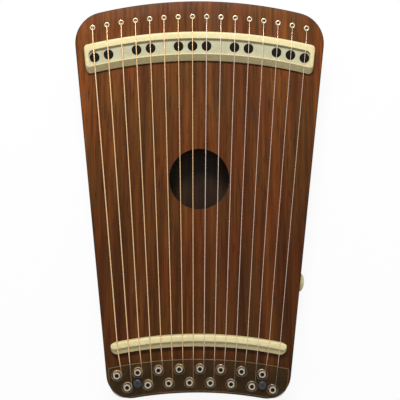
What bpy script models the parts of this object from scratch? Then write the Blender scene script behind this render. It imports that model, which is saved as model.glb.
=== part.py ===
"""Chromatic lyre: sixteen steel strings over a hollow wooden body.

The lyre lies on its back. X runs across the strings, Y runs along them
towards their hitched ends, and Z points out of the soundboard. The origin
is the middle of the back face. Every size is in metres.
"""

from collections import namedtuple
from math import acos, atan2, cos, hypot, pi, radians, sin, sqrt, tau

import bmesh
import bpy
from mathutils import Matrix, Vector

# Body outline: a crowned head, straight tapering sides and a hollow foot
BODY_LENGTH = 0.400
HEAD_SPREAD = 0.2589
FOOT_SPREAD = 0.1815
CROWN_RADIUS = 0.440
HEAD_CORNER_RADIUS = 0.031
FOOT_HOLLOW_RADIUS = 0.380
FOOT_CORNER_RADIUS = 0.024

# Body build, from the back to the front
BACK_THICKNESS = 0.004
RIM_DEPTH = 0.0304
SOUNDBOARD_THICKNESS = 0.003
EDGE_ROUNDING = 0.0015
SIDE_WALL = 0.009
CAVITY_CORNER_RADIUS = 0.010
HITCH_BLOCK_MARGIN = 0.004
PIN_BLOCK_MARGIN = 0.005
SEAM = 0.0003

# Sound hole and the two braces under the soundboard
SOUND_HOLE_RADIUS = 0.030
SOUND_HOLE_RISE = 0.021
BRACE_WIDTH = 0.008
BRACE_DEPTH = 0.007
BRACE_OFFSET = 0.044
BRACE_END_GAP = 0.004
BRACE_TIP_DEPTH = 0.002
BRACE_TAPER = 0.022

# Strings: gauges of the lowest and the highest, and their ball ends
STRING_COUNT = 16
LOW_STRING_DIAMETER = 0.00115
HIGH_STRING_DIAMETER = 0.00045
BALL_RADIUS = 0.0021
BALL_RECESS = 0.0008
BALL_CHAMFER = 0.0005
BALL_HOLE_CLEARANCE = 0.0004
STRING_HOLE_RADIUS = 0.0012
BEND_RADIUS = 0.003

# Eyelets, on an arc near the head
EYELET_SETBACK = 0.0158
EYELET_ROW_RADIUS = 0.508
EYELET_SIDE_MARGIN = 0.0204
EYELET_RADIUS = 0.0029
EYELET_BARREL_RADIUS = 0.00195
EYELET_BORE_RADIUS = 0.0012
EYELET_HEIGHT = 0.0008
EYELET_BEVEL = 0.0005

# Top bridge: raised rail, recess with the semitone pads, crest and back slope
TOP_BRIDGE_SETBACK = 0.0318
TOP_BRIDGE_RADIUS = 0.486
TOP_BRIDGE_HEIGHT = 0.0085
TOP_BRIDGE_END_GAP = 0.0092
TOP_BRIDGE_CORNER = 0.004
RAIL_WIDTH = 0.0067
RAIL_ROUNDING = 0.002
RECESS_WIDTH = 0.0150
RECESS_DEPTH = 0.0030
RECESS_DRAFT = 0.0003
RECESS_CORNER = 0.0012
CREST_WIDTH = 0.0010
SLOPE_WIDTH = 0.0056
SLOPE_FOOT = 0.0020
END_WALL = 0.0040

# Semitone pads: one moulded strip under the recess floor, twelve round pads
PAD_STRINGS = (1, 2, 4, 5, 7, 8, 9, 11, 12, 14, 15, 16)
PAD_RADIUS = 0.0047
PAD_CLEARANCE = 0.0003
PAD_ROUNDING = 0.0004
PAD_WEB = 0.0025
PAD_STRIP_MARGIN = 0.0012
PAD_STRIP_CORNER = 0.003

# Bottom bridge: broad crown with a step on the side of the pins
BOTTOM_BRIDGE_SETBACK = 0.0665
BOTTOM_BRIDGE_RADIUS = 0.422
BOTTOM_BRIDGE_HEIGHT = 0.0090
BOTTOM_BRIDGE_END_GAP = 0.0078
BOTTOM_CROWN_WIDTH = 0.0080
BOTTOM_STEP_WIDTH = 0.0052
BOTTOM_STEP_DROP = 0.0022
BOTTOM_STEP_DRAFT = 0.0006
BOTTOM_ROUNDING = 0.0018
BRIDGE_SIDE_MARGIN = 0.0157

# Tuning pins, in two rows, with a hexagonal socket in each head
PIN_SIDE_MARGIN = 0.0166
PIN_SHIFT = 0.00385
PIN_ROW_SETBACK = 0.0095
PIN_ROW_SPACING = 0.0135
PIN_ROW_RADIUS = 0.431
PIN_HEAD_RADIUS = 0.0036
PIN_WAIST_RADIUS = 0.0030
PIN_SHANK_RADIUS = 0.0025
PIN_SHANK_LENGTH = 0.028
PIN_FOOT_GAP = 0.0006
PIN_PROUD = 0.0025
PIN_HEAD_GRIP = 0.0015
PIN_CHAMFER = 0.0005
SOCKET_RADIUS = 0.0022
SOCKET_DEPTH = 0.0060
RUNNING_CLEARANCE = 0.0003

# Windings of the strings on the waists of the pins
COIL_TURNS = 2.25
COIL_POINTS = 8
COIL_GAP = 0.0012

# Clear cover over the pins, on two spacers with a screw through each
COVER_SETBACK = 0.0115
COVER_RADIUS = 0.430
COVER_INSET = 0.004
COVER_CORNER = 0.002
COVER_GAP = 0.011
COVER_THICKNESS = 0.0025
COVER_ROUNDING = 0.0004
COVER_HOLE_RADIUS = 0.0053
SPACER_RADIUS = 0.00425
SCREW_RISE = 0.0030
SCREW_SHAFT_RADIUS = 0.0015
SCREW_GRIP = 0.012
SCREW_HEAD_RADIUS = 0.0042
SCREW_HEAD_HEIGHT = 0.0025
SCREW_HEAD_EDGE = 0.0009
SCREW_BROW_RADIUS = 0.0026
SCREW_SOCKET_RADIUS = 0.0014
SCREW_SOCKET_DEPTH = 0.0015

# Strings whose place each cover screw takes in the lower row of pins
LEFT_SCREW_STRING = 3
RIGHT_SCREW_STRING = STRING_COUNT - 1

# Strap button on the right-hand side wall
BUTTON_FROM_FOOT = 0.1158
BUTTON_RADIUS = 0.0093
BUTTON_HEIGHT = 0.0052
BUTTON_EDGE = 0.0012
BUTTON_SHANK_RADIUS = 0.002
BUTTON_SHANK_LENGTH = 0.006

# Largest corner of an outline, as a share of the outline's own height
CORNER_SHARE = 0.48

# Fineness of the round shapes
LONG_ARC_STEPS = 5
BRIDGE_ARC_STEPS = 7
BODY_CORNER_STEPS = 5
SMALL_CORNER_STEPS = 3
PIN_SIDES = 10
EYELET_SIDES = 8
STRING_HOLE_SIDES = 6
SOUND_HOLE_SIDES = 40
PAD_SIDES = 14
SCREW_SIDES = 12
SOCKET_SIDES = 6
BUTTON_SIDES = 16
DOME_STEPS = 4
BEND_STEPS = 3
SMOOTH_ANGLE = radians(40)

# Levels that follow from the build
HEAD_Y = BODY_LENGTH / 2
FOOT_Y = -BODY_LENGTH / 2
SIDE_SLOPE = (HEAD_SPREAD - FOOT_SPREAD) / 2 / BODY_LENGTH
RIM_Z = BACK_THICKNESS + SEAM
SOUNDBOARD_Z = RIM_Z + RIM_DEPTH + SEAM
FACE_Z = SOUNDBOARD_Z + SOUNDBOARD_THICKNESS
COVER_Z = FACE_Z + COVER_GAP
TOP_BRIDGE_WIDTH = RAIL_WIDTH + RECESS_WIDTH + CREST_WIDTH + SLOPE_WIDTH
TOP_BRIDGE_Y = HEAD_Y - TOP_BRIDGE_SETBACK
PAD_ROW_Y = TOP_BRIDGE_Y - RAIL_WIDTH - RECESS_WIDTH / 2
PAD_ROW_RADIUS = TOP_BRIDGE_RADIUS - RAIL_WIDTH - RECESS_WIDTH / 2
BOTTOM_BRIDGE_WIDTH = BOTTOM_CROWN_WIDTH + BOTTOM_STEP_WIDTH
BOTTOM_BRIDGE_Y = FOOT_Y + BOTTOM_BRIDGE_SETBACK
COVER_Y = BOTTOM_BRIDGE_Y - BOTTOM_BRIDGE_WIDTH - COVER_SETBACK
PIN_ROW_Y = COVER_Y - PIN_ROW_SETBACK

# Outline between two long arcs and the body's two sloping sides
Plan = namedtuple("Plan", "top_y top_radius bottom_y bottom_radius side_gap "
                          "top_corner bottom_corner arc_steps corner_steps")


# Plane geometry

def side_x(y, gap=0.0):
    """Half the width between the side lines at height y, each moved in by gap."""
    middle = (HEAD_SPREAD + FOOT_SPREAD) / 4
    return middle + SIDE_SLOPE * y - gap * hypot(1, SIDE_SLOPE)


def foot_middle_y():
    """Height of the middle of the hollow foot, whose corners reach the full length."""
    corner_y = FOOT_Y + FOOT_CORNER_RADIUS
    corner_x = side_x(corner_y, FOOT_CORNER_RADIUS)
    reach = FOOT_HOLLOW_RADIUS + FOOT_CORNER_RADIUS
    return corner_y - sqrt(reach ** 2 - corner_x ** 2) + FOOT_HOLLOW_RADIUS


def arc_y(x, middle_y, radius):
    """Height at x of an arc that is highest, at middle_y, on the centre line."""
    return middle_y - radius + sqrt(radius ** 2 - x ** 2)


def corner_centre(gap, radius, arc_centre, reach):
    """Centre of a corner that touches a side line and lies at reach from an arc's centre."""
    along = Vector((SIDE_SLOPE, 1)).normalized()
    inward = Vector((-along.y, along.x))
    start = Vector((side_x(0, gap), 0)) + inward * radius - arc_centre
    back = start.dot(along)
    travel = sqrt(back ** 2 - start.dot(start) + reach ** 2) - back
    return arc_centre + start + along * travel


def arc_points(centre, start, end, steps):
    """Points from start to end about a centre, the shorter way round, end left out."""
    first = atan2(start.y - centre.y, start.x - centre.x)
    last = atan2(end.y - centre.y, end.x - centre.x)
    turn = (last - first + pi) % tau - pi
    radius = (start - centre).length
    angles = [first + turn * step / steps for step in range(steps)]
    return [centre + radius * Vector((cos(angle), sin(angle))) for angle in angles]


def plan_loop(plan, top_in=0.0, side_in=0.0, bottom_in=0.0):
    """Points of a plan's outline, anticlockwise, with each edge moved in by its own amount."""
    top = Vector((0, plan.top_y - top_in))
    top_radius = plan.top_radius - top_in
    bottom = Vector((0, plan.bottom_y + bottom_in))
    bottom_radius = plan.bottom_radius + bottom_in
    top_centre = top - Vector((0, top_radius))
    bottom_centre = bottom - Vector((0, bottom_radius))
    gap = plan.side_gap + side_in
    widest = (top.y - bottom.y) * CORNER_SHARE
    upper = min(max(plan.top_corner - side_in, SEAM), widest)
    lower = min(max(plan.bottom_corner - side_in, SEAM), widest)
    upper_centre = corner_centre(gap, upper, top_centre, top_radius - upper)
    lower_centre = corner_centre(gap, lower, bottom_centre, bottom_radius + lower)
    outward = Vector((1, -SIDE_SLOPE)).normalized()
    upper_end = top_centre + (upper_centre - top_centre).normalized() * top_radius
    lower_end = bottom_centre + (lower_centre - bottom_centre).normalized() * bottom_radius
    upper_start = upper_centre + outward * upper
    lower_start = lower_centre + outward * lower
    right = arc_points(bottom_centre, bottom, lower_end, plan.arc_steps)
    right += arc_points(lower_centre, lower_end, lower_start, plan.corner_steps)
    right += [lower_start]
    right += arc_points(upper_centre, upper_start, upper_end, plan.corner_steps)
    right += arc_points(top_centre, upper_end, top, plan.arc_steps)
    left = [Vector((-point.x, point.y)) for point in reversed(right[1:])]
    return right + [top] + left


def circle(radius, sides, turn=0.0):
    """Points of a circle about the origin."""
    angles = [turn + tau * step / sides for step in range(sides)]
    return [Vector((radius * cos(angle), radius * sin(angle))) for angle in angles]


def around(free_radius, sides):
    """Corner radius of a polygon whose flats are at free_radius from its middle."""
    return free_radius / cos(pi / sides)


def tangent_angle(centre, radius, outside, side):
    """Angle about centre at which a line from an outside point touches the circle."""
    reach = outside - centre
    return atan2(reach.y, reach.x) + side * acos(radius / reach.length)


def meet_arc(start, end, middle_y, radius):
    """Upper point where the line through start and end crosses an arc."""
    step = end - start
    offset = start - Vector((0, middle_y - radius))
    a = step.dot(step)
    b = offset.dot(step)
    c = offset.dot(offset) - radius ** 2
    root = sqrt(b ** 2 - a * c)
    crossings = [start + step * (-b + sign * root) / a for sign in (-1, 1)]
    return max(crossings, key=lambda point: point.y)


# Places that more than one piece shares

def across(index, half_span):
    """Place across the body of string number index, counted from 1 on the left."""
    return half_span * (2 * (index - 1) / (STRING_COUNT - 1) - 1)


def eyelet_place(index):
    middle_y = HEAD_Y - EYELET_SETBACK
    x = across(index, side_x(middle_y) - EYELET_SIDE_MARGIN)
    return Vector((x, arc_y(x, middle_y, EYELET_ROW_RADIUS)))


def bearing_place(index):
    """Where a string leaves the crown of the bottom bridge, above its step."""
    middle_y = BOTTOM_BRIDGE_Y - BOTTOM_CROWN_WIDTH
    x = across(index, side_x(middle_y) - BRIDGE_SIDE_MARGIN)
    return Vector((x, arc_y(x, middle_y, BOTTOM_BRIDGE_RADIUS - BOTTOM_CROWN_WIDTH)))


def pin_place(index):
    """Axis of a tuning pin: odd strings go to the row nearer the bridge."""
    middle_y = PIN_ROW_Y if index % 2 else PIN_ROW_Y - PIN_ROW_SPACING
    x = across(index, side_x(PIN_ROW_Y) - PIN_SIDE_MARGIN)
    return Vector((x - PIN_SHIFT, arc_y(x, middle_y, PIN_ROW_RADIUS)))


def pad_place(index):
    """Where a string crosses the middle of the top bridge's recess."""
    return meet_arc(eyelet_place(index), bearing_place(index), PAD_ROW_Y, PAD_ROW_RADIUS)


def screw_place(index):
    """Axis of a cover screw, between the pins one before and one after a string's own."""
    middle = (pin_place(index - 1) + pin_place(index + 1)) / 2
    return middle + Vector((0, SCREW_RISE))


def string_radius(index):
    share = (index - 1) / (STRING_COUNT - 1)
    ratio = HIGH_STRING_DIAMETER / LOW_STRING_DIAMETER
    return LOW_STRING_DIAMETER * ratio ** share / 2


STRINGS = range(1, STRING_COUNT + 1)
SCREWS = {"left": screw_place(LEFT_SCREW_STRING), "right": screw_place(RIGHT_SCREW_STRING)}
BODY = Plan(HEAD_Y, CROWN_RADIUS, foot_middle_y(), FOOT_HOLLOW_RADIUS, 0.0,
            HEAD_CORNER_RADIUS, FOOT_CORNER_RADIUS, LONG_ARC_STEPS, BODY_CORNER_STEPS)
TOP_BRIDGE = Plan(TOP_BRIDGE_Y, TOP_BRIDGE_RADIUS,
                  TOP_BRIDGE_Y - TOP_BRIDGE_WIDTH, TOP_BRIDGE_RADIUS - TOP_BRIDGE_WIDTH,
                  TOP_BRIDGE_END_GAP, TOP_BRIDGE_CORNER, TOP_BRIDGE_CORNER,
                  BRIDGE_ARC_STEPS, SMALL_CORNER_STEPS)
BOTTOM_BRIDGE = Plan(BOTTOM_BRIDGE_Y, BOTTOM_BRIDGE_RADIUS,
                     BOTTOM_BRIDGE_Y - BOTTOM_BRIDGE_WIDTH,
                     BOTTOM_BRIDGE_RADIUS - BOTTOM_BRIDGE_WIDTH,
                     BOTTOM_BRIDGE_END_GAP, BOTTOM_BRIDGE_WIDTH, BOTTOM_BRIDGE_WIDTH,
                     BRIDGE_ARC_STEPS, SMALL_CORNER_STEPS)


# Making objects

def make_material(name, colour, roughness, metallic=0.0, alpha=1.0):
    material = bpy.data.materials.new(name)
    material.use_nodes = True
    shader = material.node_tree.nodes["Principled BSDF"]
    shader.inputs["Base Color"].default_value = (*colour, 1)
    shader.inputs["Roughness"].default_value = roughness
    shader.inputs["Metallic"].default_value = metallic
    shader.inputs["Alpha"].default_value = alpha
    material.diffuse_color = (*colour, alpha)
    return material


def place_object(name, data, material=None, location=(0, 0, 0)):
    thing = bpy.data.objects.new(name, data)
    bpy.context.scene.collection.objects.link(thing)
    thing.location = location
    thing.parent = lyre
    if material:
        data.materials.append(material)
    return thing


def skin(name, loops, closed_ring=False):
    """Mesh of a closed body through loops of one point count, capped unless a ring.

    Each loop is a list of plane points with the height they all stand at.
    """
    bm = bmesh.new()
    rows = [[bm.verts.new((point.x, point.y, z)) for point in loop] for loop, z in loops]
    pairs = list(zip(rows, rows[1:]))
    if closed_ring:
        pairs.append((rows[-1], rows[0]))
    else:
        bm.faces.new(rows[0])
        bm.faces.new(rows[-1])
    for low, high in pairs:
        for here, there in zip(range(len(low)), range(-1, len(low) - 1)):
            bm.faces.new((low[there], low[here], high[here], high[there]))
    bmesh.ops.recalc_face_normals(bm, faces=bm.faces)
    mesh = bpy.data.meshes.new(name)
    bm.to_mesh(mesh)
    bm.free()
    mesh.shade_smooth()
    mesh.set_sharp_from_angle(angle=SMOOTH_ANGLE)
    return mesh


def cylinders(name, rods):
    """Mesh of separate upright rods, each given as place, radius, sides, low and high."""
    bm = bmesh.new()
    for place, radius, sides, low, high in rods:
        shift = Matrix.Translation((place.x, place.y, (low + high) / 2))
        bmesh.ops.create_cone(bm, cap_ends=True, segments=sides, radius1=radius,
                              radius2=radius, depth=high - low, matrix=shift)
    mesh = bpy.data.meshes.new(name)
    bm.to_mesh(mesh)
    bm.free()
    return mesh


def combine(target, other, operation):
    """Adds a Boolean to target, with other kept as a hidden tool."""
    other.hide_render = True
    other.display_type = "WIRE"
    boolean = target.modifiers.new(other.name, "BOOLEAN")
    boolean.operation = operation
    boolean.solver = "EXACT"
    boolean.object = other


def cut_rods(target, rods):
    """Drills upright holes, given in world heights, through a body."""
    name = f"{target.name}_drills"
    combine(target, place_object(name, cylinders(name, rods)), "DIFFERENCE")


def shoulder(rounding):
    """How far the middle of a rounded edge lies inside each of the faces it joins."""
    return rounding * (1 - sqrt(0.5))


def rounded_steps(height, rounding):
    """Insets and heights of a plate's upper edge, from its full outline to its flat."""
    half = shoulder(rounding)
    return [(0, height - rounding), (half, height - half), (rounding, height)]


def plate_loops(plan, steps):
    return [(plan_loop(plan, inset, inset, inset), z) for inset, z in steps]


# Body

def make_back_board():
    """Back with a rounded edge, and a hole under each string that takes its ball end."""
    steps = [(inset, BACK_THICKNESS - z) for inset, z in
             rounded_steps(BACK_THICKNESS, EDGE_ROUNDING)]
    loops = plate_loops(BODY, steps[::-1] + [(0, BACK_THICKNESS)])
    board = place_object("back_board", skin("back_board", loops), wood_side)
    radius = around(BALL_RADIUS + BALL_HOLE_CLEARANCE, EYELET_SIDES)
    cut_rods(board, [(eyelet_place(index), radius, EYELET_SIDES, -SEAM,
                      BACK_THICKNESS + SEAM) for index in STRINGS])


def make_frame():
    """Rim with a thick head block for the hitches and a thick foot block for the pins."""
    cavity = Plan(TOP_BRIDGE.bottom_y - HITCH_BLOCK_MARGIN, TOP_BRIDGE.bottom_radius,
                  BOTTOM_BRIDGE.bottom_y - PIN_BLOCK_MARGIN, BOTTOM_BRIDGE.bottom_radius,
                  SIDE_WALL, CAVITY_CORNER_RADIUS, CAVITY_CORNER_RADIUS,
                  LONG_ARC_STEPS, BODY_CORNER_STEPS)
    outside = plan_loop(BODY)
    inside = plan_loop(cavity)
    loops = [(outside, 0), (outside, RIM_DEPTH), (inside, RIM_DEPTH), (inside, 0)]
    frame = place_object("frame", skin("frame", loops, closed_ring=True), wood_side,
                         (0, 0, RIM_Z))
    top = RIM_Z + RIM_DEPTH
    pin_radius = around(PIN_SHANK_RADIUS + RUNNING_CLEARANCE, PIN_SIDES)
    screw_radius = around(SCREW_SHAFT_RADIUS + SEAM, SCREW_SIDES)
    rods = [(eyelet_place(index), STRING_HOLE_RADIUS, STRING_HOLE_SIDES,
             RIM_Z - SEAM, top + SEAM) for index in STRINGS]
    rods += [(pin_place(index), pin_radius, PIN_SIDES,
              FACE_Z - PIN_SHANK_LENGTH - SEAM, top + SEAM) for index in STRINGS]
    rods += [(place, screw_radius, SCREW_SIDES, FACE_Z - SCREW_GRIP - SEAM, top + SEAM)
             for place in SCREWS.values()]
    cut_rods(frame, rods)
    drill = around(BUTTON_SHANK_RADIUS + SEAM, SCREW_SIDES)
    depth = BUTTON_SHANK_LENGTH + 2 * SEAM
    hole = skin("button_hole", [(circle(drill, SCREW_SIDES), -depth),
                                (circle(drill, SCREW_SIDES), 2 * SEAM)])
    hole = place_object("button_hole", hole)
    stand_on_side(hole, 0)
    combine(frame, hole, "DIFFERENCE")


def make_soundboard():
    """Front with a rounded edge, drilled for eyelets, pins and screws, braced beneath."""
    steps = [(0, 0)] + rounded_steps(SOUNDBOARD_THICKNESS, EDGE_ROUNDING)
    mesh = skin("soundboard", plate_loops(BODY, steps))
    board = place_object("soundboard", mesh, wood_front, (0, 0, SOUNDBOARD_Z))
    braces = place_object("braces", brace_mesh(), wood_front)
    combine(board, braces, "UNION")
    low = SOUNDBOARD_Z - SEAM
    high = FACE_Z + SEAM
    eyelet_radius = around(EYELET_BARREL_RADIUS + SEAM, EYELET_SIDES)
    pin_radius = around(PIN_SHANK_RADIUS + RUNNING_CLEARANCE, PIN_SIDES)
    screw_radius = around(SCREW_SHAFT_RADIUS + SEAM, SCREW_SIDES)
    hole = Vector((0, SOUND_HOLE_RISE))
    rods = [(hole, SOUND_HOLE_RADIUS, SOUND_HOLE_SIDES, low, high)]
    rods += [(eyelet_place(index), eyelet_radius, EYELET_SIDES, low, high)
             for index in STRINGS]
    rods += [(pin_place(index), pin_radius, PIN_SIDES, low, high) for index in STRINGS]
    rods += [(place, screw_radius, SCREW_SIDES, low, high) for place in SCREWS.values()]
    cut_rods(board, rods)


def brace_mesh():
    """Two cross braces, thinned towards their tips, that reach into the soundboard."""
    bm = bmesh.new()
    for side in (-1, 1):
        y = SOUND_HOLE_RISE + side * BRACE_OFFSET
        tip = side_x(y - BRACE_WIDTH / 2, SIDE_WALL + BRACE_END_GAP)
        top = SOUNDBOARD_Z + SOUNDBOARD_THICKNESS / 2
        profile = [(-tip, top), (-tip, SOUNDBOARD_Z - BRACE_TIP_DEPTH),
                   (BRACE_TAPER - tip, SOUNDBOARD_Z - BRACE_DEPTH),
                   (tip - BRACE_TAPER, SOUNDBOARD_Z - BRACE_DEPTH),
                   (tip, SOUNDBOARD_Z - BRACE_TIP_DEPTH), (tip, top)]
        face = bm.faces.new([bm.verts.new((x, y - BRACE_WIDTH / 2, z)) for x, z in profile])
        grown = bmesh.ops.extrude_face_region(bm, geom=[face])["geom"]
        verts = [item for item in grown if isinstance(item, bmesh.types.BMVert)]
        bmesh.ops.translate(bm, verts=verts, vec=(0, BRACE_WIDTH, 0))
    bmesh.ops.recalc_face_normals(bm, faces=bm.faces)
    mesh = bpy.data.meshes.new("braces")
    bm.to_mesh(mesh)
    bm.free()
    return mesh


# Bridges

def make_top_bridge():
    """Arched bar: rail, recess with twelve pad holes, crest, back slope, hollow beneath."""
    height = TOP_BRIDGE_HEIGHT - SEAM
    floor = height - RECESS_DEPTH

    def slope_in(z):
        return SLOPE_WIDTH * max(z - SLOPE_FOOT, 0) / (height - SLOPE_FOOT)

    def wall(inset, z):
        return plan_loop(TOP_BRIDGE, inset, inset, slope_in(z)), z

    pocket = pad_pocket_loop(0)
    loops = [(pocket, floor - PAD_WEB), (pocket, 0), wall(0, 0), wall(0, SLOPE_FOOT)]
    loops += [wall(inset, z) for inset, z in rounded_steps(height, RAIL_ROUNDING)]
    loops += [(recess_loop(0), height), (recess_loop(RECESS_DRAFT), floor)]
    bridge = place_object("top_bridge", skin("top_bridge", loops), ivory,
                          (0, 0, FACE_Z + SEAM))
    radius = around(PAD_RADIUS + PAD_CLEARANCE, PAD_SIDES)
    base = FACE_Z + SEAM
    cut_rods(bridge, [(pad_place(index), radius, PAD_SIDES, base + floor - PAD_WEB - SEAM,
                       base + floor + SEAM) for index in PAD_STRINGS])


def recess_loop(draft):
    """Outline of the top bridge's recess, drawn in by its draft towards the floor."""
    plan = TOP_BRIDGE._replace(top_corner=END_WALL + RECESS_CORNER,
                               bottom_corner=END_WALL + RECESS_CORNER)
    return plan_loop(plan, RAIL_WIDTH + draft, END_WALL + draft,
                     SLOPE_WIDTH + CREST_WIDTH + draft)


def pad_pocket_loop(gap):
    """Outline of the pocket under the recess, or of the pad strip a gap inside it."""
    margin = RECESS_WIDTH / 2 - PAD_RADIUS - PAD_CLEARANCE - PAD_STRIP_MARGIN
    plan = TOP_BRIDGE._replace(top_corner=END_WALL + PAD_STRIP_CORNER,
                               bottom_corner=END_WALL + PAD_STRIP_CORNER)
    return plan_loop(plan, RAIL_WIDTH + margin + gap, END_WALL - PAD_STRIP_MARGIN + gap,
                     SLOPE_WIDTH + CREST_WIDTH + margin + gap)


def make_semitone_pad_strip():
    """Strip in the bridge's hollow whose round pads stand level with the recess floor."""
    base = FACE_Z + SEAM
    floor = TOP_BRIDGE_HEIGHT - SEAM - RECESS_DEPTH
    thickness = floor - PAD_WEB - SEAM
    outline = pad_pocket_loop(SEAM)
    strip = skin("semitone_pad_strip", [(outline, 0), (outline, thickness)])
    strip = place_object("semitone_pad_strip", strip, pad_black, (0, 0, base))
    shared = skin("pads", [(circle(PAD_RADIUS, PAD_SIDES), thickness / 2),
                           (circle(PAD_RADIUS, PAD_SIDES), floor - PAD_ROUNDING),
                           (circle(PAD_RADIUS - PAD_ROUNDING, PAD_SIDES), floor)])
    bm = bmesh.new()
    for index in PAD_STRINGS:
        place = pad_place(index)
        before = len(bm.verts)
        bm.from_mesh(shared)
        bm.verts.ensure_lookup_table()
        bmesh.ops.translate(bm, verts=bm.verts[before:], vec=(place.x, place.y, 0))
    bm.to_mesh(shared)
    bm.free()
    combine(strip, place_object("pads", shared, location=(0, 0, base)), "UNION")


def make_bottom_bridge():
    """Arched bar with round ends: a rounded crown, and a lower step towards the pins."""
    height = BOTTOM_BRIDGE_HEIGHT - SEAM
    step_z = height - BOTTOM_STEP_DROP
    half = shoulder(BOTTOM_ROUNDING)
    drafted = BOTTOM_STEP_WIDTH - BOTTOM_STEP_DRAFT

    def row(inset, far_in, z):
        return plan_loop(BOTTOM_BRIDGE, inset, inset, far_in), z

    loops = [row(0, 0, 0),
             row(0, 0, step_z - half),
             row(half / 2, half, step_z),
             row(half / 2, drafted, step_z),
             row(half, BOTTOM_STEP_WIDTH, height - half),
             row(BOTTOM_ROUNDING, BOTTOM_STEP_WIDTH + half, height)]
    mesh = skin("bottom_bridge", loops)
    place_object("bottom_bridge", mesh, ivory, (0, 0, FACE_Z + SEAM))


# Eyelets, pins and strings

def make_eyelets():
    """Flanged metal eyelets, with their barrels in the soundboard."""
    def ring(radius, z):
        return circle(radius, EYELET_SIDES, pi / EYELET_SIDES), z

    bore = around(EYELET_BORE_RADIUS, EYELET_SIDES)
    foot = SEAM - SOUNDBOARD_THICKNESS
    top = SEAM + EYELET_HEIGHT
    loops = [ring(bore, foot), ring(EYELET_BARREL_RADIUS, foot),
             ring(EYELET_BARREL_RADIUS, SEAM), ring(EYELET_RADIUS, SEAM),
             ring(EYELET_RADIUS - EYELET_BEVEL, top), ring(bore, top)]
    mesh = skin("eyelet", loops, closed_ring=True)
    mesh.materials.append(nickel)
    for index in STRINGS:
        place = eyelet_place(index)
        place_object(f"eyelet_{index:02d}", mesh, location=(place.x, place.y, FACE_Z))


def pin_waist():
    """Lowest and highest level of a pin's waist, above the soundboard."""
    return PIN_FOOT_GAP, COVER_GAP - PIN_HEAD_GRIP


def socketed(loops, socket_radius, z, depth, sides):
    """Adds a hexagonal socket to a head that ends in a flat ring of the given sides."""
    corners = circle(socket_radius, SOCKET_SIDES)
    rim = []
    for step in range(sides):
        position = step * SOCKET_SIDES / sides
        corner = int(position)
        here = corners[corner]
        there = corners[(corner + 1) % SOCKET_SIDES]
        rim.append(here.lerp(there, position - corner))
    return loops + [(rim, z), (rim, z - depth)]


def make_tuning_pins():
    """Steel pins that turn in the foot block, each on its own axis."""
    def ring(radius, z):
        return circle(radius, PIN_SIDES), z

    low, high = pin_waist()
    top = COVER_GAP + COVER_THICKNESS + PIN_PROUD
    flare = PIN_HEAD_RADIUS - PIN_WAIST_RADIUS
    loops = [ring(PIN_SHANK_RADIUS, -PIN_SHANK_LENGTH),
             ring(PIN_SHANK_RADIUS, low),
             ring(PIN_WAIST_RADIUS, low),
             ring(PIN_WAIST_RADIUS, high),
             ring(PIN_HEAD_RADIUS, high + flare),
             ring(PIN_HEAD_RADIUS, top - PIN_CHAMFER),
             ring(PIN_HEAD_RADIUS - PIN_CHAMFER, top)]
    loops = socketed(loops, SOCKET_RADIUS, top, SOCKET_DEPTH, PIN_SIDES)
    mesh = skin("tuning_pin", loops)
    mesh.materials.append(pin_steel)
    for index in STRINGS:
        place = pin_place(index)
        place_object(f"tuning_pin_{index:02d}", mesh, location=(place.x, place.y, FACE_Z))


def string_points(index):
    """Route of a string's middle line from its ball end to its last turn, with radii."""
    wire = string_radius(index)
    eyelet = eyelet_place(index)
    bearing = bearing_place(index)
    ahead = (bearing - eyelet).normalized()

    def over(place, z):
        return Vector((place.x, place.y, z))

    ball_top = RIM_Z - SEAM
    points = [(over(eyelet, BALL_RECESS), BALL_RADIUS - BALL_CHAMFER),
              (over(eyelet, BALL_RECESS + BALL_CHAMFER), BALL_RADIUS),
              (over(eyelet, ball_top - BALL_CHAMFER), BALL_RADIUS),
              (over(eyelet, ball_top), wire)]

    rail_z = FACE_Z + TOP_BRIDGE_HEIGHT + SEAM + wire
    rail = meet_arc(eyelet, bearing, TOP_BRIDGE_Y - RAIL_ROUNDING,
                    TOP_BRIDGE_RADIUS - RAIL_ROUNDING)
    crest_in = RAIL_WIDTH + RECESS_WIDTH + CREST_WIDTH / 2
    crest = meet_arc(eyelet, bearing, TOP_BRIDGE_Y - crest_in, TOP_BRIDGE_RADIUS - crest_in)
    bend_centre = Vector((BEND_RADIUS, FACE_Z))
    rail_seen = Vector(((rail - eyelet).length, rail_z))
    last = tangent_angle(bend_centre, BEND_RADIUS, rail_seen, 1)
    for step in range(BEND_STEPS + 1):
        angle = pi + (last - pi) * step / BEND_STEPS
        run = BEND_RADIUS * (1 + cos(angle))
        points.append((over(eyelet + ahead * run, FACE_Z + BEND_RADIUS * sin(angle)), wire))

    crown_z = FACE_Z + BOTTOM_BRIDGE_HEIGHT + SEAM + wire
    points += [(over(rail, rail_z), wire), (over(crest, rail_z), wire),
               (over(bearing, crown_z), wire)]

    pin = pin_place(index)
    coil = around(PIN_WAIST_RADIUS + RUNNING_CLEARANCE + wire, COIL_POINTS)
    pitch = 2 * wire + COIL_GAP
    low, high = pin_waist()
    start_z = FACE_Z + (low + high - COIL_TURNS * pitch) / 2
    first = tangent_angle(pin, coil, bearing, -1)
    steps = round(COIL_TURNS * COIL_POINTS)
    for step in range(steps + 1):
        turned = step / COIL_POINTS
        spot = pin + coil * Vector((cos(first - tau * turned), sin(first - tau * turned)))
        points.append((over(spot, start_z + pitch * turned), wire))
    tail = Vector((sin(first - tau * COIL_TURNS), -cos(first - tau * COIL_TURNS)))
    end = points[-1][0] + 2 * wire * tail.to_3d()
    return points + [(end, wire)]


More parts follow.
